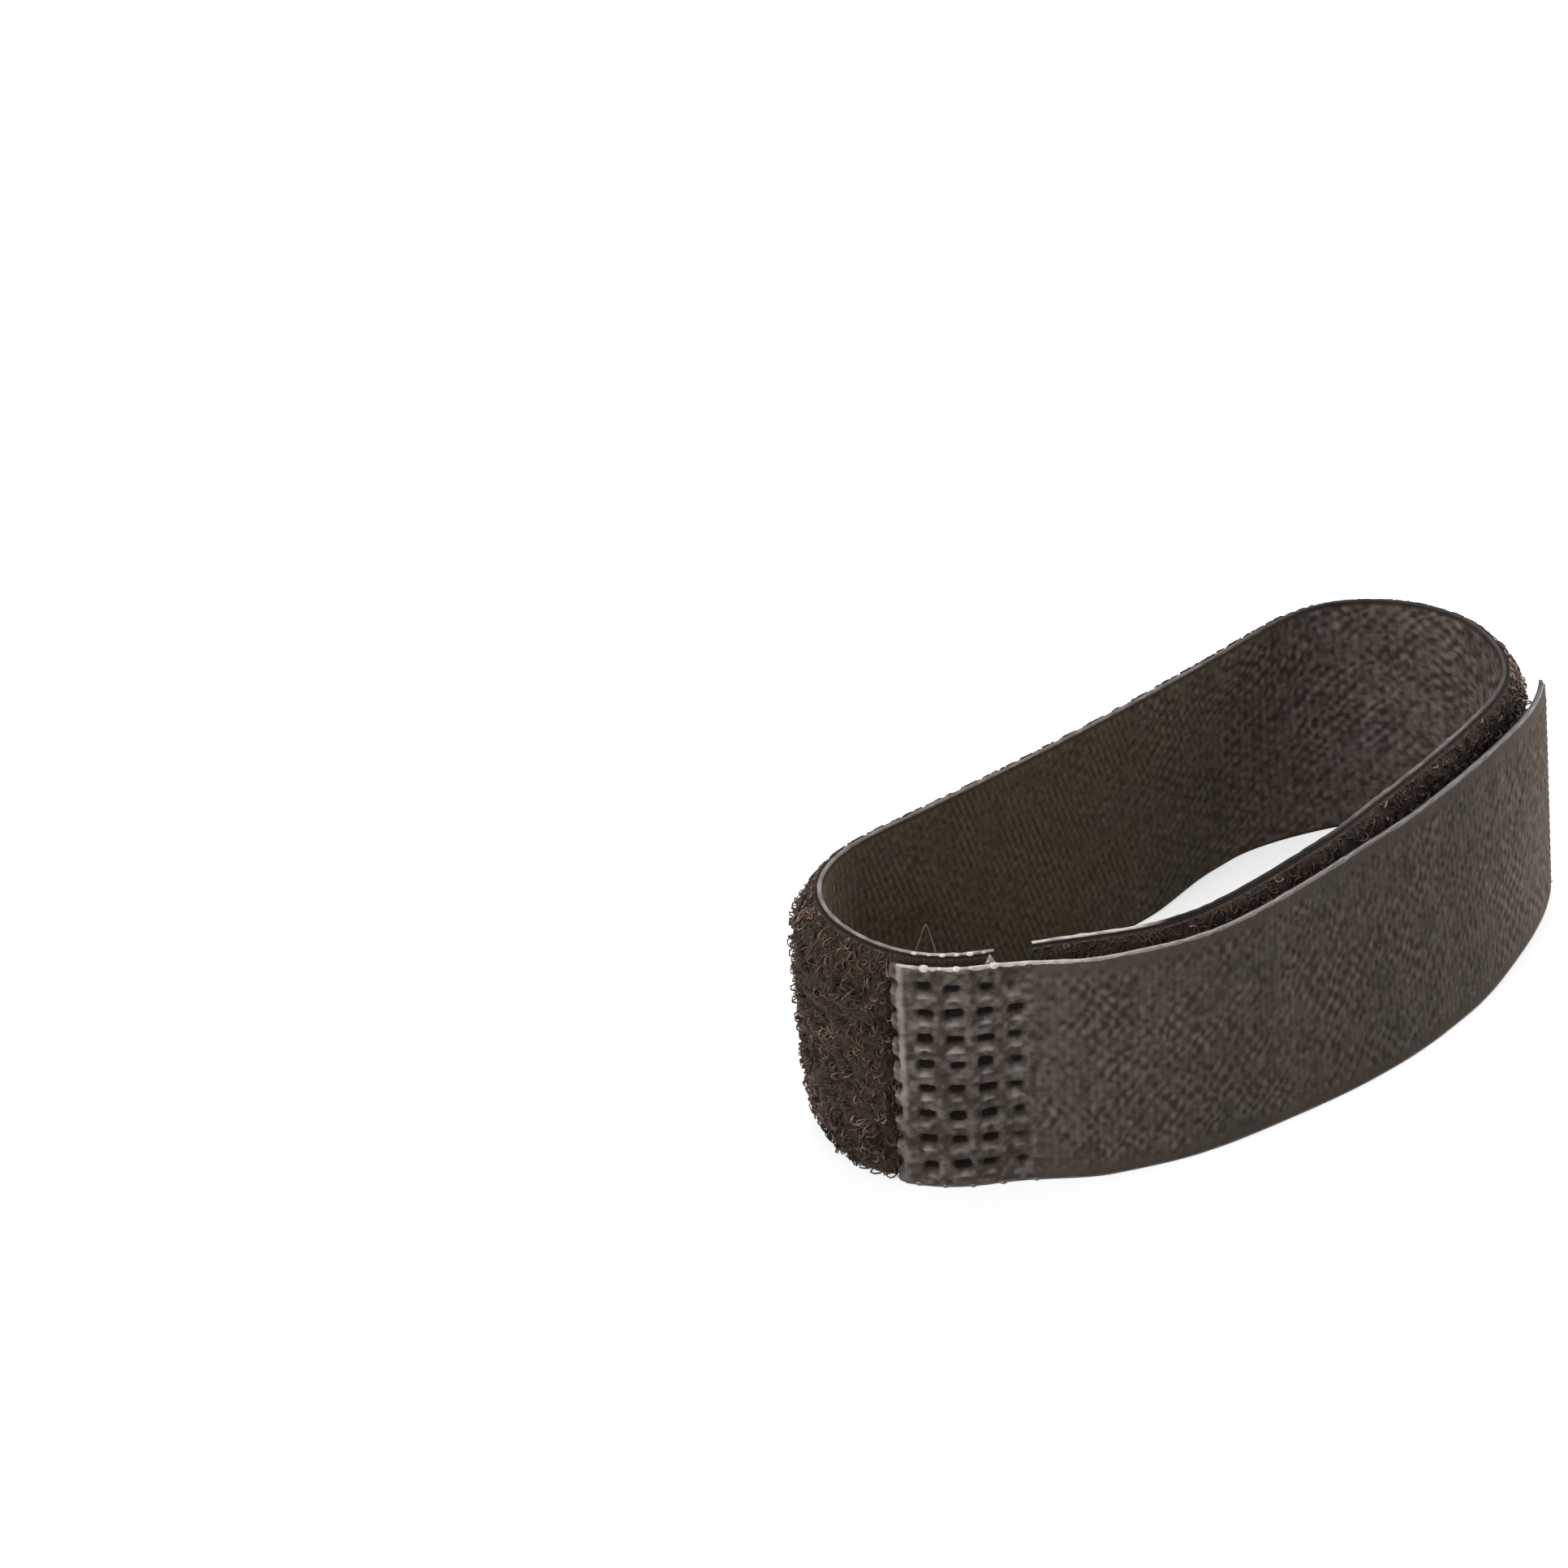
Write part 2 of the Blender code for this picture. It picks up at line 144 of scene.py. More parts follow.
# The weld and the hook tape's ends
PIT_COLUMN_PITCH = 2.17 * MM  # a little closer than in the CAD
WELD_END = FIRST_PIT_COLUMN + (PIT_COLUMNS - 0.5) * PIT_COLUMN_PITCH
PIT_HALF = (0.66 * MM, 0.42 * MM)
PIT_SHIFT = 0.12 * MM  # up from the middle of its row
PIT_DEPTH = 0.46 * MM
PIT_STRENGTH = (0.85, 1.0, 1.0, 0.95, 0.68)  # by column, from the one that the cut runs through
CUT_COLUMN_SHIFT = 0.4 * MM  # that column lies further out
TOP_ROW_STRENGTH = 0.72
RIDGE = (0.09 * MM, 0.3 * MM)  # between the columns: height and half width
LIP_HEIGHT = 0.2 * MM  # under each pit
LIP_HALF = (0.6 * MM, 0.2 * MM)
LIP_DROP = 0.62 * MM
LIP_BOW = 0.22 * MM
GLINT_ROW = 5  # of pits whose lips stand a little higher and get the brightest painted glint
CUT_RIM = (-0.1 * MM, 0.15 * MM, 0.35 * MM, 0.65 * MM)  # the raised rim along the cut
CUT_RIM_HEIGHT = 0.1 * MM
CUT_ROUNDING = 0.15 * MM
SCALLOP_DEPTH = 0.22 * MM  # along the weld's lower edge
NOTCH_DEPTH = 0.09 * MM
TOOTH_PITCH = 0.8 * MM
TOOTH_DEPTH = 0.16 * MM
SPIKE_HEIGHT = 0.2 * MM
SPIKE_LENGTH = 0.7 * MM
FRAYS = 46  # loose fibre ends at the cut
FRAY_REACH = (0.08 * MM, 0.26 * MM)  # past the cut
FRAY_RADIUS = 0.04 * MM
THREAD_PLACE = 1.65 * MM  # a stray thread that stands over the weld
THREAD_HALF = 0.85 * MM
THREAD_HEIGHT = 2.3 * MM
THREAD_RADIUS = 0.035 * MM
FLAKE = (6.3 * MM, 7.4 * MM)  # a flake on the weld's upper edge
FLAKE_HEIGHT = 0.42 * MM
FLAKE_THICKNESS = 0.16 * MM
# Beads of fused nylon along the upper edges, with a painted glint, in mm: place along the hook tape and size
FRONT_BEADS = ((2.0, 0.28), (4.3, 0.22), (5.3, 0.16), (7.0, 0.26), (3.1, 0.14))
BACK_BEADS = ((0.9, 0.16), (2.2, 0.13), (3.3, 0.17), (4.5, 0.14), (5.6, 0.18), (6.7, 0.12))
# and those at the lower edge: place, height above that edge and size
LOW_BEADS = ((1.0, 0.2, 0.22), (2.9, 0.16, 0.2), (4.9, 0.14, 0.2), (7.1, 0.02, 0.2), (9.5, 0.1, 0.17))

# The hooks
HOOKS_FROM_WELD = 3.0 * MM
HOOK_PITCH = 1.25 * MM
HOOK_CURL = 0.26 * MM
HOOK_WIRE = 0.085 * MM
HOOK_STEM = 0.35 * MM  # up to here it stands straight

# The lower edge yarns' tone is a painted shade; the painted highlight on the upper ones is given as pairs of
# a place along the tape, in mm, and a tone
LOWER_EDGE_SHADE = 0.08
LOOP_EDGE_HIGHLIGHTS = ((0, 1.0), (7.5, 1.0), (10, 0.0), (25, 0.0), (30, 0.2), (42, 0.25), (50, 0.06), (72, 0.02),
                   (84, 0.22), (118, 0.3), (126, 0.4), (134, 0.4), (136, 0.6), (143, 0.6))
HOOK_EDGE_HIGHLIGHTS = ((-1, 0.5), (1, 0.7), (7.5, 0.7), (8.5, 0.95), (11, 0.75), (16, 0.45), (24, 0.28),
                   (40, 0.16), (56, 0.1), (68, 0.04))
LOOP_EDGE_RADIUS = 0.17 * MM
HOOK_EDGE_RADIUS = 0.2 * MM

# Floor, light and camera
WHITE = (1.0, 1.0, 1.0, 1.0)
FLOOR_SIZE = 6.0
FLOOR_COLOUR = (0.6, 0.6, 0.6)
FLOOR_LIFT = 0.6  # only as the camera, gloss and glass see it
WORLD_STRENGTH = 0.38  # 1 as those see it
# Azimuth (0 behind the camera, 90 to its right) and elevation in degrees, distance, size, power
LAMPS = {"key": (175.0, 62.0, 1.2, 0.7, 7.0), "right": (125.0, 18.0, 1.2, 0.6, 6.0),
         "left": (-45.0, 36.0, 1.3, 0.7, 11.0)}
PHOTO_SIZE = 1932
FOCAL_PIXELS = 13264.6  # of the photograph's lens
CAMERA_DISTANCE = 0.8
CAMERA_ELEVATION = math.radians(33.3)
CAMERA_AZIMUTH = math.radians(-42.42)
AIM_PIXEL = (1440.0, 1100.0)  # where the photograph shows the aim point
AIM = Vector((9.186 * MM, 12.555 * MM, 0.0))


def ease(x, start, end):
    """0 before start, 1 after end and a smooth step between them."""
    x = np.clip((x - start) / (end - start), 0.0, 1.0)
    return x * x * (3.0 - 2.0 * x)


def within(x, start, full, leave, end):
    """0 outside start and end, 1 from full to leave, and smooth steps between them."""
    return ease(x, start, full) * (1.0 - ease(x, leave, end))


def hump(x, centre, half):
    """A bell of height 1 about a centre."""
    return np.exp(-((x - centre) / half) ** 2)


# The outline, as the CAD works it out

def arc(centre, start, end, turn):
    """Points from start towards end round a centre; turn is 1 anticlockwise and -1 clockwise."""
    a = math.atan2(*(start - centre)[::-1])
    b = math.atan2(*(end - centre)[::-1])
    while (b - a) * turn < 0.0:
        b += 2.0 * math.pi * turn
    angles = np.linspace(a, b, 240, endpoint=False)
    return centre + np.linalg.norm(start - centre) * np.c_[np.cos(angles), np.sin(angles)]


def wall(a, ra, b, rb, radius):
    """The wall that leaves bend a and meets bend b; radius is None for a straight one."""
    length = np.linalg.norm(b - a)
    along = (b - a) / length
    outward = np.array([along[1], -along[0]])
    if radius is None:
        slope = (ra - rb) / length
        side = outward * math.sqrt(1.0 - slope * slope) + along * slope
        start, end = a + side * ra, b + side * rb
        return start + np.linspace(0, 1, 120, endpoint=False)[:, None] * (end - start), start, end
    turn = math.copysign(1.0, radius)
    to_a, to_b = abs(radius - ra), abs(radius - rb)
    x = (to_a ** 2 - to_b ** 2 + length ** 2) / (2.0 * length)
    centre = a + along * x - outward * turn * math.sqrt(to_a ** 2 - x * x)
    start = a + (a - centre) / to_a * turn * ra
    end = b + (b - centre) / to_b * turn * rb
    return arc(centre, start, end, turn), start, end


def outline(length):
    """Even points round the loop for one distance between its end bends, and its length."""
    bends = [(np.array([0.0, 0.0]), WELD_BEND_RADIUS),
             (np.array([NEAR_BEND_PLACE * length, -NEAR_BEND_SET_OUT]), NEAR_BEND_RADIUS),
             (np.array([length, 0.0]), FAR_BEND_RADIUS)]
    walls = [wall(*bends[i], *bends[(i + 1) % 3], bow)
             for i, bow in enumerate((None, NEAR_WALL_BOW, -FAR_WALL_BOW))]
    seam = int(SEAM_PLACE * len(walls[0][0]))
    runs = [walls[0][0][seam:]]
    for i in range(3):
        centre = bends[(i + 1) % 3][0]
        runs.append(arc(centre, walls[i][2], walls[(i + 1) % 3][1], 1.0))
        runs.append(walls[(i + 1) % 3][0][:seam] if i == 2 else walls[i + 1][0])
    points = np.vstack(runs)
    points = np.vstack([points, points[:1]])
    travelled = np.r_[0.0, np.cumsum(np.linalg.norm(np.diff(points, axis=0), axis=1))]
    even = np.linspace(0.0, travelled[-1], OUTLINE_POINTS, endpoint=False)
    points = np.c_[np.interp(even, travelled, points[:, 0]), np.interp(even, travelled, points[:, 1])]
    reach = int(3.0 * CORNER_SMOOTHING / (travelled[-1] / OUTLINE_POINTS))
    steps = np.arange(-reach, reach + 1)
    weights = np.exp(-0.5 * (3.0 * steps / reach) ** 2)
    points = sum(w * np.roll(points, k, axis=0) for w, k in zip(weights / weights.sum(), steps))
    loop = np.vstack([points, points[:1]])
    return points, np.linalg.norm(np.diff(loop, axis=0), axis=1).sum()


def fitted_outline():
    """The outline whose length is the loop tape's and its gap's."""
    low, high = 0.05 * OUTLINE_LENGTH, 0.5 * OUTLINE_LENGTH
    for _ in range(40):
        middle = 0.5 * (low + high)
        if outline(middle)[1] < OUTLINE_LENGTH:
            low = middle
        else:
            high = middle
    return outline(middle)[0]


PATH = fitted_outline()
TANGENT = np.roll(PATH, -1, axis=0) - np.roll(PATH, 1, axis=0)
TANGENT /= np.linalg.norm(TANGENT, axis=1)[:, None]
OUTWARD = np.c_[TANGENT[:, 1], -TANGENT[:, 0]]
NEAR_Y, FAR_Y = PATH[:, 1].min(), PATH[:, 1].max()


def around(s, t):
    """Plan points at distances s round the outline and t outside it."""
    place = (np.asarray(s) / OUTLINE_LENGTH % 1.0) * OUTLINE_POINTS
    i = place.astype(int) % OUTLINE_POINTS
    k, share = (i + 1) % OUTLINE_POINTS, (place % 1.0)[..., None]
    t = np.asarray(t)[..., None]
    return (1 - share) * (PATH[i] + t * OUTWARD[i]) + share * (PATH[k] + t * OUTWARD[k])


def spread(s):
    """How far the two tapes are spread apart, from 0 to 1."""
    return within(s, *SPREAD)


def bend(s, z, t):
    """Places in the finished tie of points at s round the outline, z up and t outside it."""
    down = 1.0 - z / TAPE_WIDTH
    inward = SPREAD_INWARD * spread(s) + FAR_INWARD[0] * within(s, *FAR_INWARD[1:])
    plan = around(s, t - inward)
    x, y = plan[..., 0], plan[..., 1]
    near = NEAR_LEAN + NEAR_LEAN_RISE[0] * ease(x, *NEAR_LEAN_RISE[1:])
    near = near - NEAR_LEAN_FALL[0] * ease(x, *NEAR_LEAN_FALL[1:])
    far = FAR_LEAN - FAR_LEAN_FALL[0] * ease(x, *FAR_LEAN_FALL[1:])
    far = far + FAR_LEAN_RISE[0] * ease(x, *FAR_LEAN_RISE[1:])
    lean = near + ease(y, NEAR_Y, FAR_Y) * (far - near)
    return np.stack([x + down * LEAN_ALONG - BOX_MIDDLE[0], y - down * lean - BOX_MIDDLE[1], z], axis=-1)


def laid_stack(s):
    """How far the hook tape's inner side stands outside the outline."""
    up = ease(s, STEP_UP_START, STEP_UP_END)
    return WELD_STACK + (LAID_STACK - WELD_STACK) * up


def lay_hook_tape():
    """Distances along the hook tape, and the outline's where each comes to lie."""
    step = OUTLINE_LENGTH / OUTLINE_POINTS
    places = -0.5 * END_GAP - WELD_LENGTH + step * np.arange(OUTLINE_POINTS // 2)
    points = around(places, laid_stack(places) + 0.5 * BACKING)
    return np.r_[0.0, np.cumsum(np.linalg.norm(np.diff(points, axis=0), axis=1))], places


ALONG_HOOK_TAPE, HOOK_TAPE_PLACES = lay_hook_tape()
HOOK_TAPE_END = float(np.interp(HOOK_TAPE_LENGTH, ALONG_HOOK_TAPE, HOOK_TAPE_PLACES))
COVERED = HOOK_TAPE_END - 0.5 * END_GAP
HOOK_CUT = HOOK_TAPE_LENGTH - END_TRIM


def lay_loop(points):
    """Put flat points of the loop tape round the outline."""
    s = points[..., 0] + 0.5 * END_GAP
    inward = START_INWARD[0] * (1.0 - ease(s, *START_INWARD[1:]))
    inward = inward + WELD_INWARD[0] * ease(s, *WELD_INWARD[1:])
    return bend(s, points[..., 1], points[..., 2] - inward)


def lay_hook(points):
    """Put flat points of the hook tape round the outline, over the loop tape."""
    x = points[..., 0]
    x = x - END_SLANT * (points[..., 1] / TAPE_WIDTH) ** 2 * ease(x, HOOK_CUT - END_SLANT_LENGTH, HOOK_CUT)
    places = np.interp(x, ALONG_HOOK_TAPE, HOOK_TAPE_PLACES) + np.minimum(x, 0.0)
    lift = HOOK_END_LIFT * ease(x, HOOK_CUT - HOOK_END_LIFT_LENGTH, HOOK_CUT)
    lift = lift + (SPREAD_INWARD + SPREAD_OUTWARD) * spread(places)
    return bend(places, points[..., 1], points[..., 2] + laid_stack(places) + lift)


# Meshes

def piece(name, lay, points, faces, material, **values):
    """A smooth mesh object of flat points that lay() puts in place.

    faces is a list of index arrays, and values are point attributes.
    """
    mesh = bpy.data.meshes.new(name)
    mesh.vertices.add(len(points))
    mesh.vertices.foreach_set("co", np.ascontiguousarray(lay(points), np.float32).ravel())
    corners = np.concatenate([f.ravel() for f in faces]).astype(np.int32)
    sizes = np.concatenate([np.full(len(f), f.shape[1]) for f in faces])
    mesh.loops.add(len(corners))
    mesh.loops.foreach_set("vertex_index", corners)
    mesh.polygons.add(len(sizes))
    mesh.polygons.foreach_set("loop_start", np.r_[0, np.cumsum(sizes)[:-1]].astype(np.int32))
    mesh.update(calc_edges=True)
    for key, value in {"cloth": points, **values}.items():
        kind = "FLOAT_VECTOR" if value.ndim == 2 else "FLOAT"
        store = mesh.attributes.new(key, kind, "POINT").data
        flat = np.ascontiguousarray(value, np.float32).ravel()
        store.foreach_set("vector" if value.ndim == 2 else "value", flat)
    mesh.polygons.foreach_set("use_smooth", np.ones(len(sizes), bool))
    mesh.materials.append(material)
    made = bpy.data.objects.new(name, mesh)
    bpy.context.scene.collection.objects.link(made)
    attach(made, "root")
    return made


def closed_tape(fine, plain, fine_is_outer):
    """Points and faces of a closed flat tape.

    fine is the grid of points of its detailed side, and plain the height of the
    other side, which has one face from edge to edge at each station.
    """
    rows, columns = fine.shape[:2]
    index = np.arange(rows * columns).reshape(rows, columns)
    low_edge = rows * columns + np.arange(rows)
    high_edge = low_edge + rows
    backs = [np.c_[fine[:, k, :2], np.full(rows, plain)] for k in (0, -1)]
    points = np.vstack([fine.reshape(-1, 3), *backs])

    def strip(a, b):
        return np.c_[a[:-1], a[1:], b[1:], b[:-1]]

    quads = np.vstack([
        np.stack([index[:-1, :-1], index[1:, :-1], index[1:, 1:], index[:-1, 1:]], axis=-1).reshape(-1, 4),
        strip(low_edge, high_edge)[:, ::-1],
        strip(index[:, 0], low_edge)[:, ::-1],
        strip(index[:, -1], high_edge),
    ])
    first = np.r_[index[0], high_edge[0], low_edge[0]][None]
    last = np.r_[index[-1], high_edge[-1], low_edge[-1]][None, ::-1]
    faces = [quads, first, last]
    return points, faces if fine_is_outer else [f[:, ::-1] for f in faces]


def tubes(paths, side, radius, sides):
    """Points and faces of round closed tubes along paths (n, m, 3).

    side is a direction roughly square to each path, and radius is one number
    for each tube or for each of its points.
    """
    n, m = paths.shape[:2]
    ahead = np.gradient(paths, axis=1)
    ahead /= np.linalg.norm(ahead, axis=2, keepdims=True)
    across = np.cross(ahead, np.broadcast_to(side, paths.shape))
    across /= np.linalg.norm(across, axis=2, keepdims=True)
    up = np.cross(across, ahead)
    angles = np.arange(sides) * 2.0 * math.pi / sides
    ring = across[:, :, None] * np.cos(angles)[:, None] + up[:, :, None] * np.sin(angles)[:, None]
    radius = np.broadcast_to(np.asarray(radius, float), (n, m))[..., None, None]
    points = (paths[:, :, None] + radius * ring).reshape(-1, 3)
    index = np.arange(n * m * sides).reshape(n, m, sides)
    turned = np.roll(index, -1, axis=2)
    quads = np.stack([index[:, :-1], turned[:, :-1], turned[:, 1:], index[:, 1:]], axis=-1).reshape(-1, 4)
    return points, [quads[:, ::-1], index[:, 0], index[:, -1, ::-1]]


def grid(xs, ys):
    """All pairs of xs and ys, as an array (len(xs), len(ys), 2)."""
    return np.stack(np.meshgrid(xs, ys, indexing="ij"), axis=-1)


def away_from_edges(y, start, end):
    """0 at both edges of a tape and 1 further in."""
    return ease(y, start, end) * ease(TAPE_WIDTH - y, start, end)


def at_edges(y):
    """1 at both edges of a tape and 0 further in."""
    return hump(y, 0.0, EDGE_ROUNDING_WIDTH) + hump(y, TAPE_WIDTH, EDGE_ROUNDING_WIDTH)


def weave(x, y, rib_pitch, yarn_pitch):
    """Height, in metres, of a plain weave, and how near a point is to the top of a float.

    The tones add a painted highlight by this, most on the floats along the tape.
    """
    u, v = x / rib_pitch, y / yarn_pitch
    i, j = np.round(u), np.round(v)
    wave_along, wave_across = np.cos(math.pi * (u + j)), -np.cos(math.pi * (v + i))
    round_along = np.sqrt(np.maximum(0.0, 1.0 - (2.0 * (v - j) / 1.05) ** 2))
    round_across = np.sqrt(np.maximum(0.0, 1.0 - (2.0 * (u - i) / 1.1) ** 2))
    along = YARN_WAVE * wave_along + YARN_RADIUS * round_along
    across = YARN_WAVE * wave_across + YARN_RADIUS * round_across
    top_along = np.clip(wave_along, 0.0, 1.0) * round_along ** 2
    top_across = np.clip(wave_across, 0.0, 1.0) * round_across ** 2
    return np.maximum(along, across) - YARN_RADIUS, np.maximum(top_along, 0.35 * top_across)


def mottle(x, y, pitch, seed):
    """Smooth random lumps from -1 to 1 of about one pitch across."""
    table = np.random.default_rng(seed).uniform(-1.0, 1.0, (512, 64))
    u, v = x / pitch + 8.0, y / pitch + 8.0
    i, j = np.floor(u).astype(int) % 511, np.floor(v).astype(int) % 63
    a, b = ease(u % 1.0, 0.0, 1.0), ease(v % 1.0, 0.0, 1.0)
    low = table[i, j] * (1.0 - a) + table[i + 1, j] * a
    high = table[i, j + 1] * (1.0 - a) + table[i + 1, j + 1] * a
    return low * (1.0 - b) + high * b


def shimmer(x, y, rib_pitch, yarn_pitch, seed):
    """Painted highlight where a yarn floats over and painted shade where it dips, from -1 to 1, uneven as in
    cloth.
    """
    u = x / rib_pitch + 0.55 * mottle(x, y, 1.1 * MM, seed) + 0.9 * mottle(x, y, 4.5 * MM, seed + 6)
    v = y / yarn_pitch + 0.55 * mottle(x, y, 1.1 * MM, seed + 1) + 0.9 * mottle(x, y, 4.5 * MM, seed + 7)
    strength = 0.62 + 0.55 * mottle(x, y, 2.6 * MM, seed + 2) + 0.7 * mottle(x, y, 0.9 * MM, seed + 3)
    loose = 0.55 * mottle(x, y, 0.5 * MM, seed + 4) + 0.4 * mottle(x, y, 0.3 * MM, seed + 5)
    return strength * np.cos(math.pi * u) * np.cos(math.pi * v) + loose


# Materials

def shader(name, roughness, **sockets):
    """A material, its Principled shader, a function that adds linked nodes, and one that links.

    An input is named by its socket's name with _ for a space, or by i and its number.
    """
    material = bpy.data.materials.new(name)
    material.use_nodes = True
    tree = material.node_tree
    principled = tree.nodes["Principled BSDF"]
    principled.inputs["Roughness"].default_value = roughness
    for key, value in sockets.items():
        principled.inputs[key.replace("_", " ")].default_value = value

    def add(kind, settings=None, **inputs):
        node = tree.nodes.new("ShaderNode" + kind)
        for key, value in (settings or {}).items():
            setattr(node, key, value)
        for key, value in inputs.items():
            numbered = key[0] == "i" and key[1:].isdigit()
            socket = node.inputs[int(key[1:]) if numbered else key.replace("_", " ")]
            if isinstance(value, bpy.types.NodeSocket):
                tree.links.new(value, socket)
            else:
                socket.default_value = value
        return node

    return material, principled, add, tree.links.new


def coordinate(add, scale):
    """The flat place on the tape, times a scale for each axis in 1/mm."""
    cloth = add("Attribute", {"attribute_name": "cloth"})
    return add("VectorMath", {"operation": "MULTIPLY"}, i0=cloth.outputs["Vector"],
               i1=tuple(k / MM for k in scale)).outputs["Vector"]


def noise(add, scale, detail=2.0, seed=0.0):
    place = add("VectorMath", {"operation": "ADD"}, i0=coordinate(add, scale), i1=(seed, seed, seed))
    return add("TexNoise", None, Vector=place.outputs["Vector"], Scale=1.0, Detail=detail).outputs["Fac"]


def attribute(add, name):
    return add("Attribute", {"attribute_name": name}).outputs["Fac"]


def remap(add, value, low, high, to_low=0.0, to_high=1.0):
    node = add("MapRange", None, Value=value, From_Min=low, From_Max=high, To_Min=to_low, To_Max=to_high)
    return node.outputs["Result"]


def mix(add, factor, a, b, blend="MIX"):
    node = add("Mix", {"data_type": "RGBA", "blend_type": blend})
    for socket, value in zip((node.inputs[0], node.inputs[6], node.inputs[7]), (factor, a, b)):
        if isinstance(value, bpy.types.NodeSocket):
            node.id_data.links.new(value, socket)
        elif isinstance(value, tuple):
            socket.default_value = (*value, 1.0)
        else:
            socket.default_value = value
    return node.outputs[2]


def raise_fine(add, link, principled, fine, strength, depth):
    """Bump a surface by a fine pattern."""
    bump = add("Bump", None, Strength=strength, Distance=depth * MM, Height=fine)
    link(bump.outputs["Normal"], principled.inputs["Normal"])


def woven(name, pit_shade, groove_shade, crown, melt_glint, tints, along):
    """The woven backing, coloured by the mesh's lift, tone and mask of fused nylon and glint.

    Its first three colours run from a pit's floor up: those of the pits and grooves are painted
    shade there, and crown is the yarn's own; the next is the colour of the weld's fused nylon and
    of the painted glint on the lips under its pits; tints are two colours that it drifts to over a
    few millimetres, and along is two places along the tape, in mm, and what the colour is
    multiplied by at each, partly a painted brightening where light falls.
    """
    material, principled, add, link = shader(name, 0.6, Specular_IOR_Level=0.12)
    lift, tone, melt = (attribute(add, key) for key in ("lift", "tone", "melt"))
    streak = noise(add, (2.2, 9.0, 0.0), 3.0, 3.0)
    drift = noise(add, (0.16, 0.22, 0.0), 2.0, 11.0)
    glint_spots = noise(add, (3.1, 2.6, 0.0), 2.0, 29.0)
    colour = mix(add, remap(add, drift, 0.54, 0.72, 0.0, 0.6), crown, tints[0])
    colour = mix(add, remap(add, drift, 0.46, 0.28, 0.0, 0.6), colour, tints[1])
    # Painted shade: the colour darkens where the weave lies low, in its grooves.
    colour = mix(add, remap(add, lift, 0.4, 0.97), groove_shade, colour)
    colour = mix(add, 1.0, colour, mix(add, tone, (0.5, 0.48, 0.45), (2.55, 2.68, 3.0)), "MULTIPLY")
    # Painted highlight: scattered spots lighter than the crown colour.
    colour = mix(add, remap(add, glint_spots, 0.62, 0.8, 0.0, 0.35), colour, tuple(1.9 * c for c in crown))
    colour = mix(add, 0.8, colour, mix(add, streak, (0.6, 0.6, 0.6), (1.4, 1.4, 1.4)), "MULTIPLY")
    place = add("SeparateXYZ", None, Vector=coordinate(add, (1.0, 1.0, 1.0))).outputs["X"]
    share = remap(add, place, along[0][0], along[1][0])
    colour = mix(add, 1.0, colour, mix(add, share, along[0][1], along[1][1]), "MULTIPLY")
    # The weld's fused nylon and a painted glint on the lips under its pits take their own light colour.
    colour = mix(add, melt, colour, melt_glint)
    # Painted shade: the pits' floors take their near-black colour.
    colour = mix(add, remap(add, lift, 0.12, 0.35), pit_shade, colour)
    link(colour, principled.inputs["Base Color"])
    rough = add("Math", {"operation": "SUBTRACT"}, i0=remap(add, streak, 0.3, 0.7, 0.6, 0.85),
                i1=remap(add, melt, 0.0, 1.0, 0.0, 0.22))
    link(rough.outputs[0], principled.inputs["Roughness"])
    fine = noise(add, (6.0, 14.0, 0.0), 2.0, 7.0)
    raise_fine(add, link, principled, fine, 0.5, 0.05)
    return material


def pile_fibre():
    """Nylon loops: near-black brown to grey-pink, with a few purple and olive ones."""
    material, principled, add, link = shader("pile_fibre", 0.6, Sheen_Weight=0.1, Sheen_Roughness=0.5,
                                             Specular_IOR_Level=0.2)
    tone = attribute(add, "tone")
    ramp = add("ValToRGB", None, Fac=tone)
    stops = [(0.0, (0.008, 0.0045, 0.002)), (0.32, (0.032, 0.0175, 0.009)), (0.55, (0.088, 0.051, 0.0305)),
             (0.78, (0.215, 0.14, 0.102)), (0.93, (0.33, 0.23, 0.19)), (0.97, (0.17, 0.055, 0.08)),
             (1.0, (0.08, 0.08, 0.04))]
    while len(ramp.color_ramp.elements) < len(stops):
        ramp.color_ramp.elements.new(0.5)
    for element, (place, colour) in zip(ramp.color_ramp.elements, stops):
        element.position, element.color = place, (*colour, 1.0)
    drift = noise(add, (0.2, 0.2, 0.1), 2.0, 5.0)
    shade = mix(add, remap(add, drift, 0.35, 0.65), (0.75, 0.72, 0.7), (1.25, 1.2, 1.22))
    colour = mix(add, 1.0, ramp.outputs["Color"], shade, "MULTIPLY")
    link(colour, principled.inputs["Base Color"])
    shine = noise(add, (2.0, 2.0, 2.0), 1.0, 9.0)
    link(remap(add, shine, 0.3, 0.7, 0.5, 0.75), principled.inputs["Roughness"])
    return material


def pile_mat_material():
    """The matted fibres under the loops."""
    material, principled, add, link = shader("pile_mat", 0.9, Sheen_Weight=0.05, Specular_IOR_Level=0.2)
    fine = noise(add, (5.5, 5.5, 0.0), 4.0)
    colour = mix(add, remap(add, fine, 0.35, 0.7), (0.008, 0.005, 0.003), (0.067, 0.041, 0.026))
    link(colour, principled.inputs["Base Color"])
    link(remap(add, fine, 0.3, 0.7, 0.95, 0.75), principled.inputs["Roughness"])
    raise_fine(add, link, principled, fine, 0.8, 0.15)
    return material


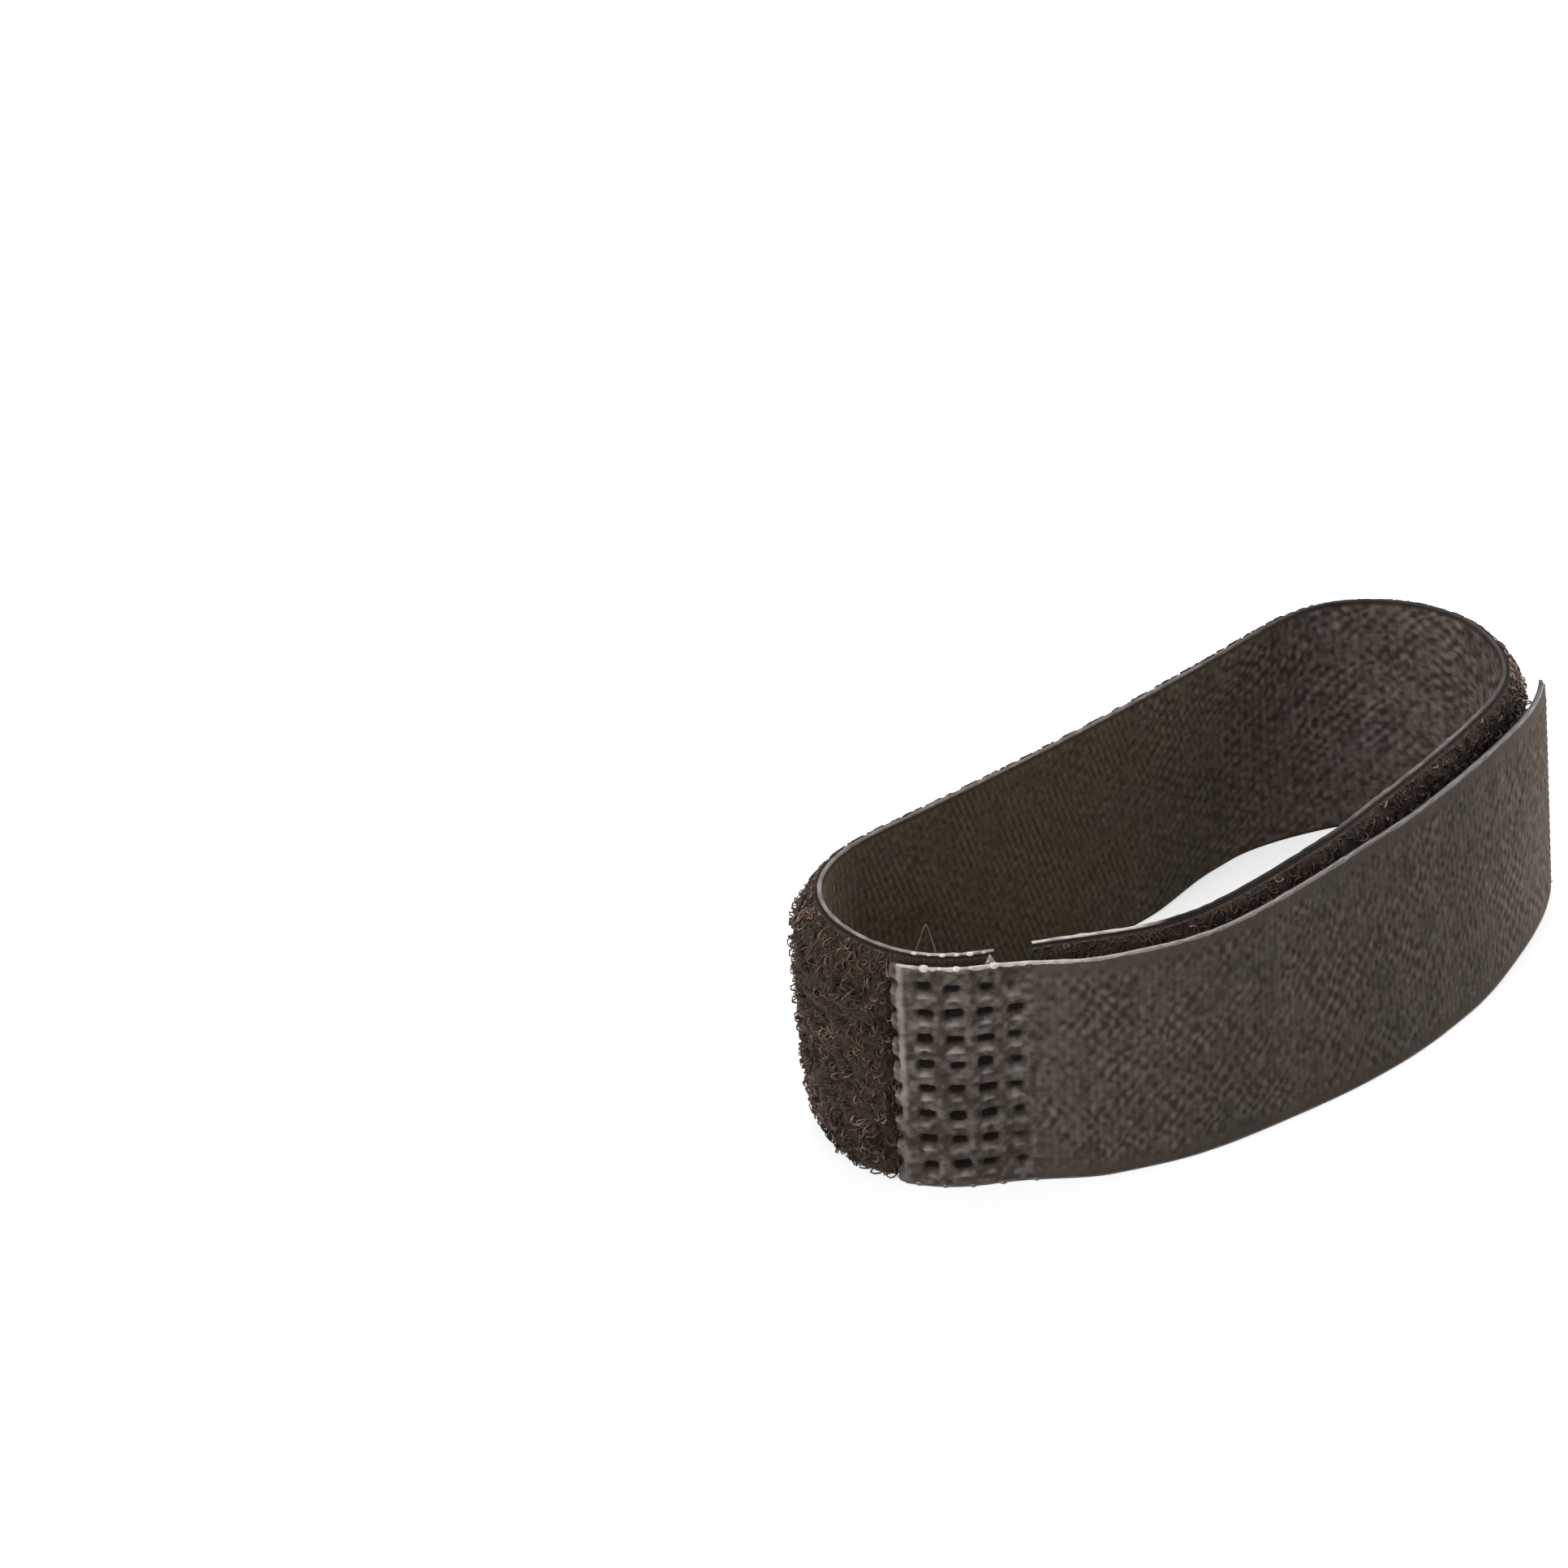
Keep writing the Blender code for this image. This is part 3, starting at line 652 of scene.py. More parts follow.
def thread(name, dark, light, roughness, specular):
    """Nylon thread, from dark to light with its tone."""
    material, principled, add, link = shader(name, roughness, Specular_IOR_Level=specular, Sheen_Weight=0.05)
    fibres = noise(add, (1.5, 16.0, 16.0), 2.0, 2.0)
    patches = remap(add, noise(add, (0.9, 0.9, 0.9), 2.0, 17.0), 0.35, 0.68, 0.55, 1.25)
    share = add("Math", {"operation": "MULTIPLY"}, i0=attribute(add, "tone"), i1=patches)
    colour = mix(add, share.outputs[0], dark, light)
    colour = mix(add, 1.0, colour, mix(add, fibres, (0.7, 0.7, 0.7), (1.25, 1.25, 1.25)), "MULTIPLY")
    link(colour, principled.inputs["Base Color"])
    link(remap(add, fibres, 0.3, 0.7, roughness - 0.08, roughness + 0.12), principled.inputs["Roughness"])
    raise_fine(add, link, principled, fibres, 0.4, 0.03)
    return material


# Pieces

def loop_backing(material):
    """The loop tape's backing, with its weave on the inside of the loop."""
    xs = np.arange(0.0, LOOP_TAPE_LENGTH + 1e-9, LOOP_RIB_PITCH / POINTS_PER_YARN)
    xs[-1] = LOOP_TAPE_LENGTH
    low, high = EDGE_INSET, TAPE_WIDTH - EDGE_INSET
    between = np.arange(low + EDGE_INSET, high - EDGE_INSET, LOOP_YARN_PITCH / LOOP_POINTS_PER_YARN)
    x, y = grid(xs, np.r_[low, between, high]).transpose(2, 0, 1)
    height, crown = weave(x, y, LOOP_RIB_PITCH, LOOP_YARN_PITCH)
    height *= 0.35 + 0.65 * away_from_edges(y, *WEAVE_MARGIN)
    fine = np.dstack([x, y, -height + EDGE_ROUNDING * at_edges(y) - FLOAT_STAND])
    points, faces = closed_tape(fine, BACKING, False)
    back = np.zeros(2 * len(xs))
    # A low lift paints shade into the weave's grooves.
    lift = np.clip(1.0 + 0.75 * height / (YARN_RADIUS + YARN_WAVE), 0.35, 1.0)
    plainer = ease(x, *PLAINER)
    contrast = 1.7 - plainer
    # The tone paints a highlight on the yarns' crowns and shade where they dip, and adds fine twill lines.
    tone = 0.28 + 0.3 * contrast * shimmer(x, y, LOOP_RIB_PITCH, LOOP_YARN_PITCH, 21)
    lines = (0.06 + 0.14 * plainer) * (1.0 + mottle(x, y, 2.2 * MM, 27))
    tone += lines * np.cos(2.0 * math.pi * (x - TWILL * y) / RIB_PITCH) + 0.1 * contrast * crown
    tone = np.maximum(tone, 0.0)
    inner = away_from_edges(y, *DARK_EDGE)
    lift, tone = GROOVE_LIFT + (lift - GROOVE_LIFT) * inner, tone * inner
    lift[0] = lift[-1] = GROOVE_LIFT  # the two cut ends
    return piece("loop_backing", lay_loop, points, faces, material,
                 lift=np.r_[lift.ravel(), back + 0.4], tone=np.r_[tone.ravel(), back],
                 melt=np.zeros(len(points)))


def pile_height(x):
    """The pile's height, at distances along the loop tape."""
    from_hook = ease(x - COVERED, PILE_RISE_START, PILE_RISE_END)
    from_weld = ease(LOOP_TAPE_LENGTH - WELD_LENGTH - x, WELD_RISE_START, WELD_RISE_END)
    late = x > 0.5 * LOOP_TAPE_LENGTH
    opened = BEND_PILE[0] * within(x, *BEND_PILE[1:])
    return np.where(late, MELTED_PILE + (PILE - MELTED_PILE) * from_weld + opened,
                    PRESSED_PILE + (PILE - PRESSED_PILE) * from_hook)


def pile_limit(x, y):
    """How high the pile may stand at a place on the tape, so that its edges slope in."""
    upper = PILE_FOOT + PILE_SLOPE * (TAPE_WIDTH - y)
    places, feet, rounds = np.array(LOW_EDGE).T * MM
    foot, far_up = np.interp(x, places, feet), np.interp(x, places, rounds)
    away = np.clip(1.0 - y / far_up, 0.0, 1.0)
    return np.minimum(upper, foot + (1.7 * PILE - foot) * np.sqrt(1.0 - away ** 2))


def pile_mat(material):
    """The dense foot of the pile, lumpy where the tufts leave it."""
    xs = np.linspace(0.1 * MM, LOOP_TAPE_LENGTH - 0.1 * MM, int(LOOP_TAPE_LENGTH / MAT_STEP))
    ys = np.linspace(0.3 * MM, TAPE_WIDTH - 0.3 * MM, int(TAPE_WIDTH / MAT_STEP))
    x, y = grid(xs, ys).transpose(2, 0, 1)
    rng = np.random.default_rng(3)
    lumps = rng.random(x.shape)
    lumps = 0.5 * lumps + 0.125 * sum(np.roll(lumps, k, axis=a) for k in (-1, 1) for a in (0, 1))
    height = np.minimum(pile_height(x), pile_limit(x, y)) * (0.38 + 0.5 * lumps)
    fine = np.dstack([x, y, BACKING + height])
    points, faces = closed_tape(fine, BACKING - 0.05 * MM, True)
    return piece("pile_mat", lay_loop, points, faces, material)


def pile_loops(material):
    """Tufts of curly loops over the whole pile, in a few pieces along the tape."""
    rng = np.random.default_rng(12)
    usable = LOOP_TAPE_LENGTH - WELD_LENGTH - 0.2 * MM
    columns = int(usable / TUFT_PITCH)
    rows = int((TAPE_WIDTH - 2.0 * PILE_EDGE) / TUFT_PITCH) + 1
    levels = np.linspace(LOW_PILE_EDGE, TAPE_WIDTH - PILE_EDGE, rows)
    tufts = grid(np.linspace(0.15 * MM, usable, columns), levels).reshape(-1, 2)
    tufts = tufts + rng.uniform(-0.42, 0.42, tufts.shape) * TUFT_PITCH
    counts = rng.integers(*LOOPS_PER_TUFT, len(tufts))
    foot = np.repeat(tufts, counts, axis=0)
    n = len(foot)
    tuft_turn = np.repeat(rng.uniform(0.0, math.pi, len(tufts)), counts)
    tuft_tone = np.repeat(rng.random(len(tufts)), counts)
    tuft_tilt = np.repeat(rng.uniform(-1.0, 1.0, len(tufts)), counts)
    foot = foot + rng.normal(0.0, 0.1 * MM, foot.shape)
    foot[:, 1] = np.clip(foot[:, 1], 0.3 * MM, TAPE_WIDTH - 0.3 * MM)
    turn = tuft_turn + rng.normal(0.0, 0.45, n)
    tilt = 1.15 * tuft_tilt + rng.normal(0.0, 0.3, n)
    span = rng.uniform(*LOOP_SPAN, n)
    height = pile_height(foot[:, 0]) * rng.uniform(0.74, 1.03, n)
    height += TUFT_RISE * hump(foot[:, 0], COVERED, 1.4 * MM) * ease(foot[:, 1], 12.0 * MM, 17.0 * MM)

    turned = np.linspace(-0.86 * math.pi, 0.86 * math.pi, LOOP_POINTS)
    rise = 0.5 * (1.0 + np.cos(turned))
    out = span[:, None] * np.sin(turned)
    up = height[:, None] * rise * np.cos(0.7 * tilt)[:, None]
    aside = height[:, None] * rise * np.sin(0.7 * tilt)[:, None] * 0.8
    aside += (rng.uniform(-1, 1, n) * 0.24 * MM)[:, None] * np.sin(1.5 * turned + 0.6)
    ahead = np.c_[np.cos(turn), np.sin(turn), np.zeros(n)]
    square = np.c_[-np.sin(turn), np.cos(turn), np.zeros(n)]
    paths = (np.c_[foot, np.full(n, BACKING) + 0.12 * height][:, None]
             + out[..., None] * ahead[:, None] + aside[..., None] * square[:, None]
             + up[..., None] * OUT)
    paths[..., 1] = np.clip(paths[..., 1], 0.12 * MM, TAPE_WIDTH - 0.3 * MM)
    free = pile_limit(paths[..., 0], paths[..., 1]) * rng.uniform(0.75, 1.0, n)[:, None]
    above = paths[..., 2] - BACKING
    paths[..., 2] = BACKING + above / (1.0 + (above / free) ** 4) ** 0.25
    radius = rng.uniform(*LOOP_RADIUS, n)[:, None] * (0.7 + 0.3 * rise)
    patch = 0.5 + 0.5 * mottle(foot[:, 0], foot[:, 1], 1.3 * MM, 41)
    tone = np.clip(0.55 * tuft_tone + 0.25 * rng.random(n) + 0.3 * patch - 0.06, 0.0, 1.0)
    # Painted shade: loops under the hook tape are darker, lightening over the last 6 mm before its end.
    tone *= 0.6 + 0.4 * ease(foot[:, 0], COVERED - 6.0 * MM, COVERED)
    odd = rng.random(n)
    blush = odd < hump(foot[:, 0], COVERED, 2.4 * MM) * hump(foot[:, 1], TAPE_WIDTH, 2.6 * MM)
    tone[blush] = 0.8 + 0.16 * odd[blush]
    tone[odd > 0.985] = 0.97
    tone[odd < 0.012] = 1.0

    order = np.argsort(foot[:, 0], kind="stable")
    pieces = []
    for k, part in enumerate(np.array_split(order, PILE_PIECES)):
        points, faces = tubes(paths[part], square[part][:, None], radius[part], 3)
        # Painted shade at each loop's foot, lightening to a painted highlight at its top.
        tones = np.repeat(tone[part, None] * (0.4 + 0.6 * rise), 3)
        pieces.append(piece(f"pile_loops_{k + 1}", lay_loop, points, faces, material, tone=tones))
    return pieces


def weld_relief(x, y):
    """What the weld adds to the hook tape's outer side: height, depth in a pit, height of a lip."""
    rng = np.random.default_rng(8)
    height, pits, lips = np.zeros_like(x), np.zeros_like(x), np.zeros_like(x)
    for column in range(-1, PIT_COLUMNS):
        at = FIRST_PIT_COLUMN + column * PIT_COLUMN_PITCH - (CUT_COLUMN_SHIFT if column < 0 else 0.0)
        fade = PIT_STRENGTH[column + 1]
        height += RIDGE[0] * fade * hump(x, at + 0.5 * PIT_COLUMN_PITCH, RIDGE[1])
        for row in range(ROWS):
            level = FIRST_ROW + row * ROW_PITCH
            dx, dy, deep = rng.normal(0.0, 0.07, 3) * (MM, MM, 1.0)
            long, high = rng.uniform(0.84, 1.14, 2) * PIT_HALF
            strength = fade * (1.0 + 1.2 * deep) * (TOP_ROW_STRENGTH if row == ROWS - 1 else 1.0)
            along, up = x - at - dx, y - level - PIT_SHIFT - dy
            core = np.exp(-(along / long) ** 4 - (up / high) ** 4)
            # A shallow wide dent round each pit, which also spreads its painted shade along the row.
            faint_shaded_dent = 0.35 * hump(along, 0.0, 1.0 * MM) * hump(up, 0.0, 0.4 * MM)
            pits = np.maximum(pits, np.clip(strength, 0.0, 1.0) * np.maximum(core, faint_shaded_dent))
            bow = LIP_BOW * (along / PIT_HALF[0]) ** 2
            lip = hump(along, 0.0, LIP_HALF[0]) * hump(y + bow, level - LIP_DROP + dy, LIP_HALF[1])
            # The lips of one row stand a little higher and get a brighter painted glint.
            glint_boost = 1.5 if row == GLINT_ROW and 0 <= column < 3 else 1.0
            lips = np.maximum(lips, (0.45 + 0.5 * fade + 2.0 * deep) * glint_boost * lip)
    height += LIP_HEIGHT * np.minimum(lips, 1.0) - PIT_DEPTH * pits
    return height, pits, np.clip(lips, 0.0, 1.3)


def hook_backing(material):
    """The hook tape's backing: woven outside, pitted in the weld, with two cut ends."""
    columns = int((HOOK_CUT + HEAD) / (RIB_PITCH / POINTS_PER_YARN)) + 1
    rows = int(TAPE_WIDTH / (YARN_PITCH / POINTS_PER_YARN)) + 1
    ys = np.linspace(EDGE_INSET, TAPE_WIDTH - EDGE_INSET, rows)
    x, y = grid(np.linspace(-HEAD, HOOK_CUT, columns), ys).transpose(2, 0, 1)
    rng = np.random.default_rng(5)
    height, crown = weave(x, y, RIB_PITCH, YARN_PITCH)
    body = away_from_edges(y, *HOOK_WEAVE_MARGIN)
    woven_part = ease(x, WELD_END - 0.2 * MM, WELD_END + 1.2 * MM)
    rib = np.round(x / RIB_PITCH).astype(int)
    rib_depth = (0.75 + 0.5 * rng.random(rib.max() + 2))[rib]
    height *= (0.3 + 0.7 * body) * (0.35 + 0.65 * woven_part) * rib_depth
    # A low lift paints shade into the weave's grooves.
    lift = np.maximum(1.0 + 0.75 * height / (YARN_RADIUS + YARN_WAVE), GROOVE_LIFT)
    pressed, pits, lips = weld_relief(x, y)
    weld = 1.0 - woven_part
    lumps = mottle(x, y, 0.45 * MM, 31) + 0.5 * mottle(x, y, 0.2 * MM, 32)
    height += (pressed + 0.05 * MM * lumps) * np.minimum(1.0, 1.4 * weld)
    # Painted shade: in the weld's pits the colour goes to the near-black colour of their floors.
    lift = lift * np.clip(1.15 - 1.6 * pits * weld, 0.0, 1.0)
    rim = within(x, *CUT_RIM)
    broken = 0.25 + 0.65 * ease(y, 5.0 * MM, 11.0 * MM) + 0.35 * mottle(x, y, 0.9 * MM, 34)
    rim *= np.clip(broken, 0.0, 1.0)
    height += CUT_RIM_HEIGHT * rim - HOOK_EDGE_ROUNDING * at_edges(y)
    height -= CUT_ROUNDING * (hump(x, -HEAD, 0.2 * MM) + hump(x, HOOK_CUT, 0.2 * MM))

    # The tone paints a highlight on the yarns' crowns and shade where they dip.
    tone = 0.25 + (0.35 * shimmer(x, y, RIB_PITCH, YARN_PITCH, 22) + 0.1 * crown) * (0.15 + 0.85 * body)
    tone = tone + 0.05 * mottle(x, 0.0 * y, 1.5 * MM, 23)
    tone = np.clip(tone * (0.2 + 0.8 * woven_part) + weld * (0.2 + 0.24 * lumps), 0.0, 1.0)
    # Fused nylon in the weld's lumps and along the cut rim, with a painted glint on the lips under the pits.
    melt = np.clip((weld * (0.9 * lips ** 1.5 + 0.26 * lumps) + rim) * (1.0 - pits), 0.0, 1.0)

    # The cut through a fifth column of pits, the teeth and corner of the free end, and the
    # weld's lower edge
    row_wave = 0.5 + 0.5 * np.cos(2.0 * math.pi * (y - FIRST_ROW) / ROW_PITCH)
    ragged = row_wave ** 2 + 0.6 * mottle(x, y, 0.5 * MM, 33)
    x = x + NOTCH_DEPTH * ragged * np.clip(1.0 - (x + HEAD) / (1.0 * MM), 0.0, 1.0)
    saw = np.abs((y / TOOTH_PITCH) % 1.0 - 0.5) * 2.0
    saw += 0.3 * mottle(0.0 * y, y, TOOTH_PITCH, 4) - 0.4
    x = x + TOOTH_DEPTH * saw * ease(x, HOOK_CUT - 0.6 * MM, HOOK_CUT)
    peak = np.maximum(0.0, (x - (HOOK_CUT - SPIKE_LENGTH)) / SPIKE_LENGTH) ** 1.4
    y = y + SPIKE_HEIGHT * peak * ease(y, TAPE_WIDTH - 1.6 * MM, TAPE_WIDTH - EDGE_INSET)
    scallop = 0.5 - 0.5 * np.cos(2.0 * math.pi * (x - FIRST_PIT_COLUMN) / PIT_COLUMN_PITCH)
    y = y + SCALLOP_DEPTH * scallop * weld * (1.0 - ease(y, 0.0, 1.0 * MM))

    points, faces = closed_tape(np.dstack([x, y, BACKING + height]), 0.0, True)
    back = np.zeros(2 * columns)
    return piece("hook_backing", lay_hook, points, faces, material,
                 lift=np.r_[lift.ravel(), back + 0.6], tone=np.r_[tone.ravel(), back + 0.4],
                 melt=np.r_[melt.ravel(), back])


def hooks(material):
    """Rows of bent monofilament hooks on the inner side of the hook tape."""
    rng = np.random.default_rng(6)
    pitch_across = 0.5 * ROW_PITCH
    xs = np.arange(WELD_END + HOOKS_FROM_WELD, HOOK_CUT - 1.0 * MM, HOOK_PITCH)
    ys = np.arange(1.4 * MM, TAPE_WIDTH - 1.3 * MM, pitch_across)
    feet = grid(xs, ys)
    feet[::2, :, 1] += 0.25 * pitch_across
    lean = np.where(np.add.outer(np.arange(len(xs)), np.arange(len(ys))) % 2, 1.0, -1.0).reshape(-1)
    feet = feet.reshape(-1, 2) + rng.normal(0.0, 0.05 * MM, (len(lean), 2))
    turned = np.linspace(0.0, 1.15 * math.pi, 6)
    along = np.r_[0.0, 0.0, HOOK_CURL * (1.0 - np.cos(turned))]
    up = np.r_[-0.12 * MM, HOOK_STEM, HOOK_HEIGHT - HOOK_CURL * (1.0 - np.sin(turned))]
    aside = rng.normal(0.0, 0.12 * MM, len(feet))
    paths = np.zeros((len(feet), len(up), 3))
    paths[..., 0] = feet[:, None, 0] + lean[:, None] * along
    paths[..., 1] = feet[:, None, 1] + aside[:, None] * np.linspace(0, 1, len(up))
    paths[..., 2] = -up
    points, faces = tubes(paths, ACROSS, HOOK_WIRE, 5)
    return piece("hooks", lay_hook, points, faces, material, tone=np.ones(len(points)))


def edge_yarn(name, start, end, lay, radius, tones, material):
    """A plain strand along each edge of a tape.

    tones is the painted highlight on the upper one, as pairs of a place in mm and a tone; the lower one gets
    a painted shade.
    """
    rng = np.random.default_rng(14)
    xs = np.arange(start, end, 0.2 * MM)
    paths, sizes, shades = [], [], []
    for level, inward in ((0.0, 1.0), (TAPE_WIDTH, -1.0)):
        wavers = rng.normal(0.0, 1.0, len(xs) // 3 + 2)
        waver = np.interp(np.arange(len(xs)), np.arange(0, len(xs) + 3, 3), wavers)
        across = level + inward * (radius - 0.04 * MM) + 0.012 * MM * waver
        paths.append(np.c_[xs, across, np.full(len(xs), 0.5 * BACKING)])
        sizes.append(radius * (1.0 + 0.06 * waver))
        shades.append(np.interp(xs / MM, *zip(*tones)) if level else np.full(len(xs), LOWER_EDGE_SHADE))
    points, faces = tubes(np.array(paths), OUT, np.array(sizes), 6)
    tone = np.repeat(np.array(shades).ravel(), 6)
    return piece(name, lay, points, faces, material, tone=tone)


def weld_beads(material):
    """Fat drops of fused nylon along the upper edges in the weld, light with a painted glint, and dark ones
    along the lower edge.
    """
    top = TAPE_WIDTH / MM
    beads = [(x, top - 0.08, 0.3, 1.4, size, 1.0) for x, size in FRONT_BEADS]
    beads += [(x, top - 0.1, -1.45, 1.9, size, 1.0) for x, size in BACK_BEADS]
    beads += [(x, y, 0.35, 1.3, size, 0.1) for x, y, size in LOW_BEADS]
    beads = np.array(beads)
    stretch, size, tone = beads[:, 3:].T
    steps = np.linspace(-1.0, 1.0, 7)
    paths = np.repeat(beads[:, None, :3], len(steps), axis=1) * MM
    paths[..., 0] += (stretch * size * MM)[:, None] * steps
    radius = (size * MM)[:, None] * np.maximum(0.15, np.sqrt(1.0 - 0.98 * steps ** 2))
    points, faces = tubes(paths, ACROSS, radius, 8)
    tone = np.repeat(tone, len(points) // len(beads))
    return piece("weld_beads", lay_hook, points, faces, material, tone=tone)


def flake(material):
    """The thin flake that the weld squeezed up on the upper edge: a small slanted wedge."""
    foot, tip = TAPE_WIDTH - 0.3 * MM, 0.45 * FLAKE[0] + 0.55 * FLAKE[1]
    front = np.array([(FLAKE[0], foot, 0.1 * MM), (FLAKE[1], foot, 0.25 * MM),
                      (tip, TAPE_WIDTH + FLAKE_HEIGHT, -0.35 * MM)])
    points = np.vstack([front, front - FLAKE_THICKNESS * OUT])
    faces = [np.array([[0, 1, 2], [5, 4, 3]]), np.array([[0, 3, 4, 1], [1, 4, 5, 2], [2, 5, 3, 0]])]
    return piece("weld_flake", lay_hook, points, faces, material, tone=np.full(len(points), 0.18))


def frays(material):
    """Fibre ends that stand out of the hook tape's cut end."""
    rng = np.random.default_rng(9)
    n, steps = FRAYS, np.linspace(0.0, 1.0, 5)
    across = rng.uniform(0.2 * MM, TAPE_WIDTH - 0.2 * MM, n)
    depth = rng.uniform(0.08 * MM, BACKING, n)
    reach = rng.uniform(*FRAY_REACH, n)
    sag = rng.normal(0.0, 0.1 * MM, (n, 2))
    paths = np.zeros((n, len(steps), 3))
    paths[..., 0] = HOOK_CUT - 0.25 * MM + (0.25 * MM + reach)[:, None] * steps
    paths[..., 1] = across[:, None] + sag[:, :1] * steps ** 2
    paths[..., 2] = depth[:, None] + sag[:, 1:] * steps ** 2
    points, faces = tubes(paths, OUT, FRAY_RADIUS, 4)
    return piece("end_frays", lay_hook, points, faces, material, tone=np.full(len(points), 0.3))


def loose_thread(material):
    """A thread that stands up in a small peak over the weld's upper edge."""
    way = np.linspace(-1.0, 1.0, 17)
    along = LOOP_TAPE_LENGTH - WELD_LENGTH + THREAD_PLACE
    along = along + THREAD_HALF * way * (0.75 + 0.25 * np.abs(way))
    across = TAPE_WIDTH - 0.25 * MM + THREAD_HEIGHT * (1.0 - np.abs(way) ** 1.5)
    depth = 0.25 * MM - 0.6 * MM * (1.0 - way ** 2)
    paths = np.dstack([along, across, depth])
    points, faces = tubes(paths, OUT, THREAD_RADIUS, 5)
    return piece("loose_thread", lay_loop, points, faces, material, tone=np.full(len(points), 0.7))


# Floor, light and camera

def shown_as(tree, light, seen):
    """A strength for light, and another as the camera, gloss and glass see it."""
    path = tree.nodes.new("ShaderNodeLightPath")
    looked_at = path.outputs["Is Camera Ray"]
    for name in ("Is Glossy Ray", "Is Transmission Ray"):
        either = tree.nodes.new("ShaderNodeMath")
        either.operation = "MAXIMUM"
        tree.links.new(looked_at, either.inputs[0])
        tree.links.new(path.outputs[name], either.inputs[1])
        looked_at = either.outputs[0]
    strength = tree.nodes.new("ShaderNodeMapRange")
    strength.inputs["To Min"].default_value = light
    strength.inputs["To Max"].default_value = seen
    tree.links.new(looked_at, strength.inputs["Value"])
    return strength.outputs["Result"]


def floor_and_world():
    """A white floor that keeps the shadow, and a pale world behind it."""
    bpy.ops.mesh.primitive_plane_add(size=FLOOR_SIZE, location=(0.0, 0.0, 0.0))
    floor = bpy.context.object
    floor.name = "floor"
    material, principled, _, link = shader("floor", 0.9, Specular_IOR_Level=0.1)
    principled.inputs["Base Color"].default_value = (*FLOOR_COLOUR, 1.0)
    principled.inputs["Emission Color"].default_value = WHITE
    link(shown_as(material.node_tree, 0.0, FLOOR_LIFT), principled.inputs["Emission Strength"])
    floor.data.materials.append(material)

    world = bpy.data.worlds.new("studio")
    bpy.context.scene.world = world
    world.use_nodes = True
    tree = world.node_tree
    background = tree.nodes["Background"]
    background.inputs["Color"].default_value = WHITE
    tree.links.new(shown_as(tree, WORLD_STRENGTH, 1.0), background.inputs["Strength"])


def lamp(name, azimuth, elevation, distance, size, power):
    """A square soft lamp that looks at the tie."""
    a, e = CAMERA_AZIMUTH + math.radians(azimuth), math.radians(elevation)
    toward = Vector((math.sin(a) * math.cos(e), -math.cos(a) * math.cos(e), math.sin(e)))
    light = bpy.data.lights.new(name, "AREA")
    light.size, light.energy = size, power
    made = bpy.data.objects.new(name, light)
    made.location = toward * distance
    made.rotation_euler = toward.to_track_quat("Z", "Y").to_euler()
    bpy.context.scene.collection.objects.link(made)


def camera():
    """The photograph's camera, worked out from the tape's width and edges in it."""
    a, e = CAMERA_AZIMUTH, CAMERA_ELEVATION
    forward = Vector((-math.sin(a) * math.cos(e), math.cos(a) * math.cos(e), -math.sin(e)))
    right = Vector((math.cos(a), math.sin(a), 0.0))
    up = right.cross(forward)
    across = (AIM_PIXEL[0] - 0.5 * PHOTO_SIZE) / FOCAL_PIXELS
    down = (AIM_PIXEL[1] - 0.5 * PHOTO_SIZE) / FOCAL_PIXELS
    data = bpy.data.cameras.new("camera")
    data.sensor_width = 36.0
    data.lens = FOCAL_PIXELS / PHOTO_SIZE * data.sensor_width
    data.clip_start = 0.05
    made = bpy.data.objects.new("camera", data)
    made.location = AIM - CAMERA_DISTANCE * (forward + across * right - down * up)
    made.rotation_mode = "QUATERNION"
    made.rotation_quaternion = forward.to_track_quat("-Z", "Y")
    bpy.context.scene.collection.objects.link(made)
    bpy.context.scene.camera = made


# The scene

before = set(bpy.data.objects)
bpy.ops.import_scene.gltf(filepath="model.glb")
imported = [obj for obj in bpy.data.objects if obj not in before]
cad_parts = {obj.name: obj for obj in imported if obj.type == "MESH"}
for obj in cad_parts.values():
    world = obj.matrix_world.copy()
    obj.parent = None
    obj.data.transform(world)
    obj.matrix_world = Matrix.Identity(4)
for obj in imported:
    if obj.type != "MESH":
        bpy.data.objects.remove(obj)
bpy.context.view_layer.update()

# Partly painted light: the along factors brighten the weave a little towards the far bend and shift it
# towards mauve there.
loop_cloth = woven("loop_weave", pit_shade=(0.004, 0.003, 0.002), groove_shade=(0.026, 0.019, 0.0125),
                   crown=(0.08, 0.0585, 0.036), melt_glint=(0.09, 0.08, 0.065),
                   tints=((0.06, 0.05, 0.024), (0.083, 0.058, 0.049)),
                   along=((66.0, (1.06, 1.1, 1.4)), (98.0, (1.02, 1.06, 0.97))))
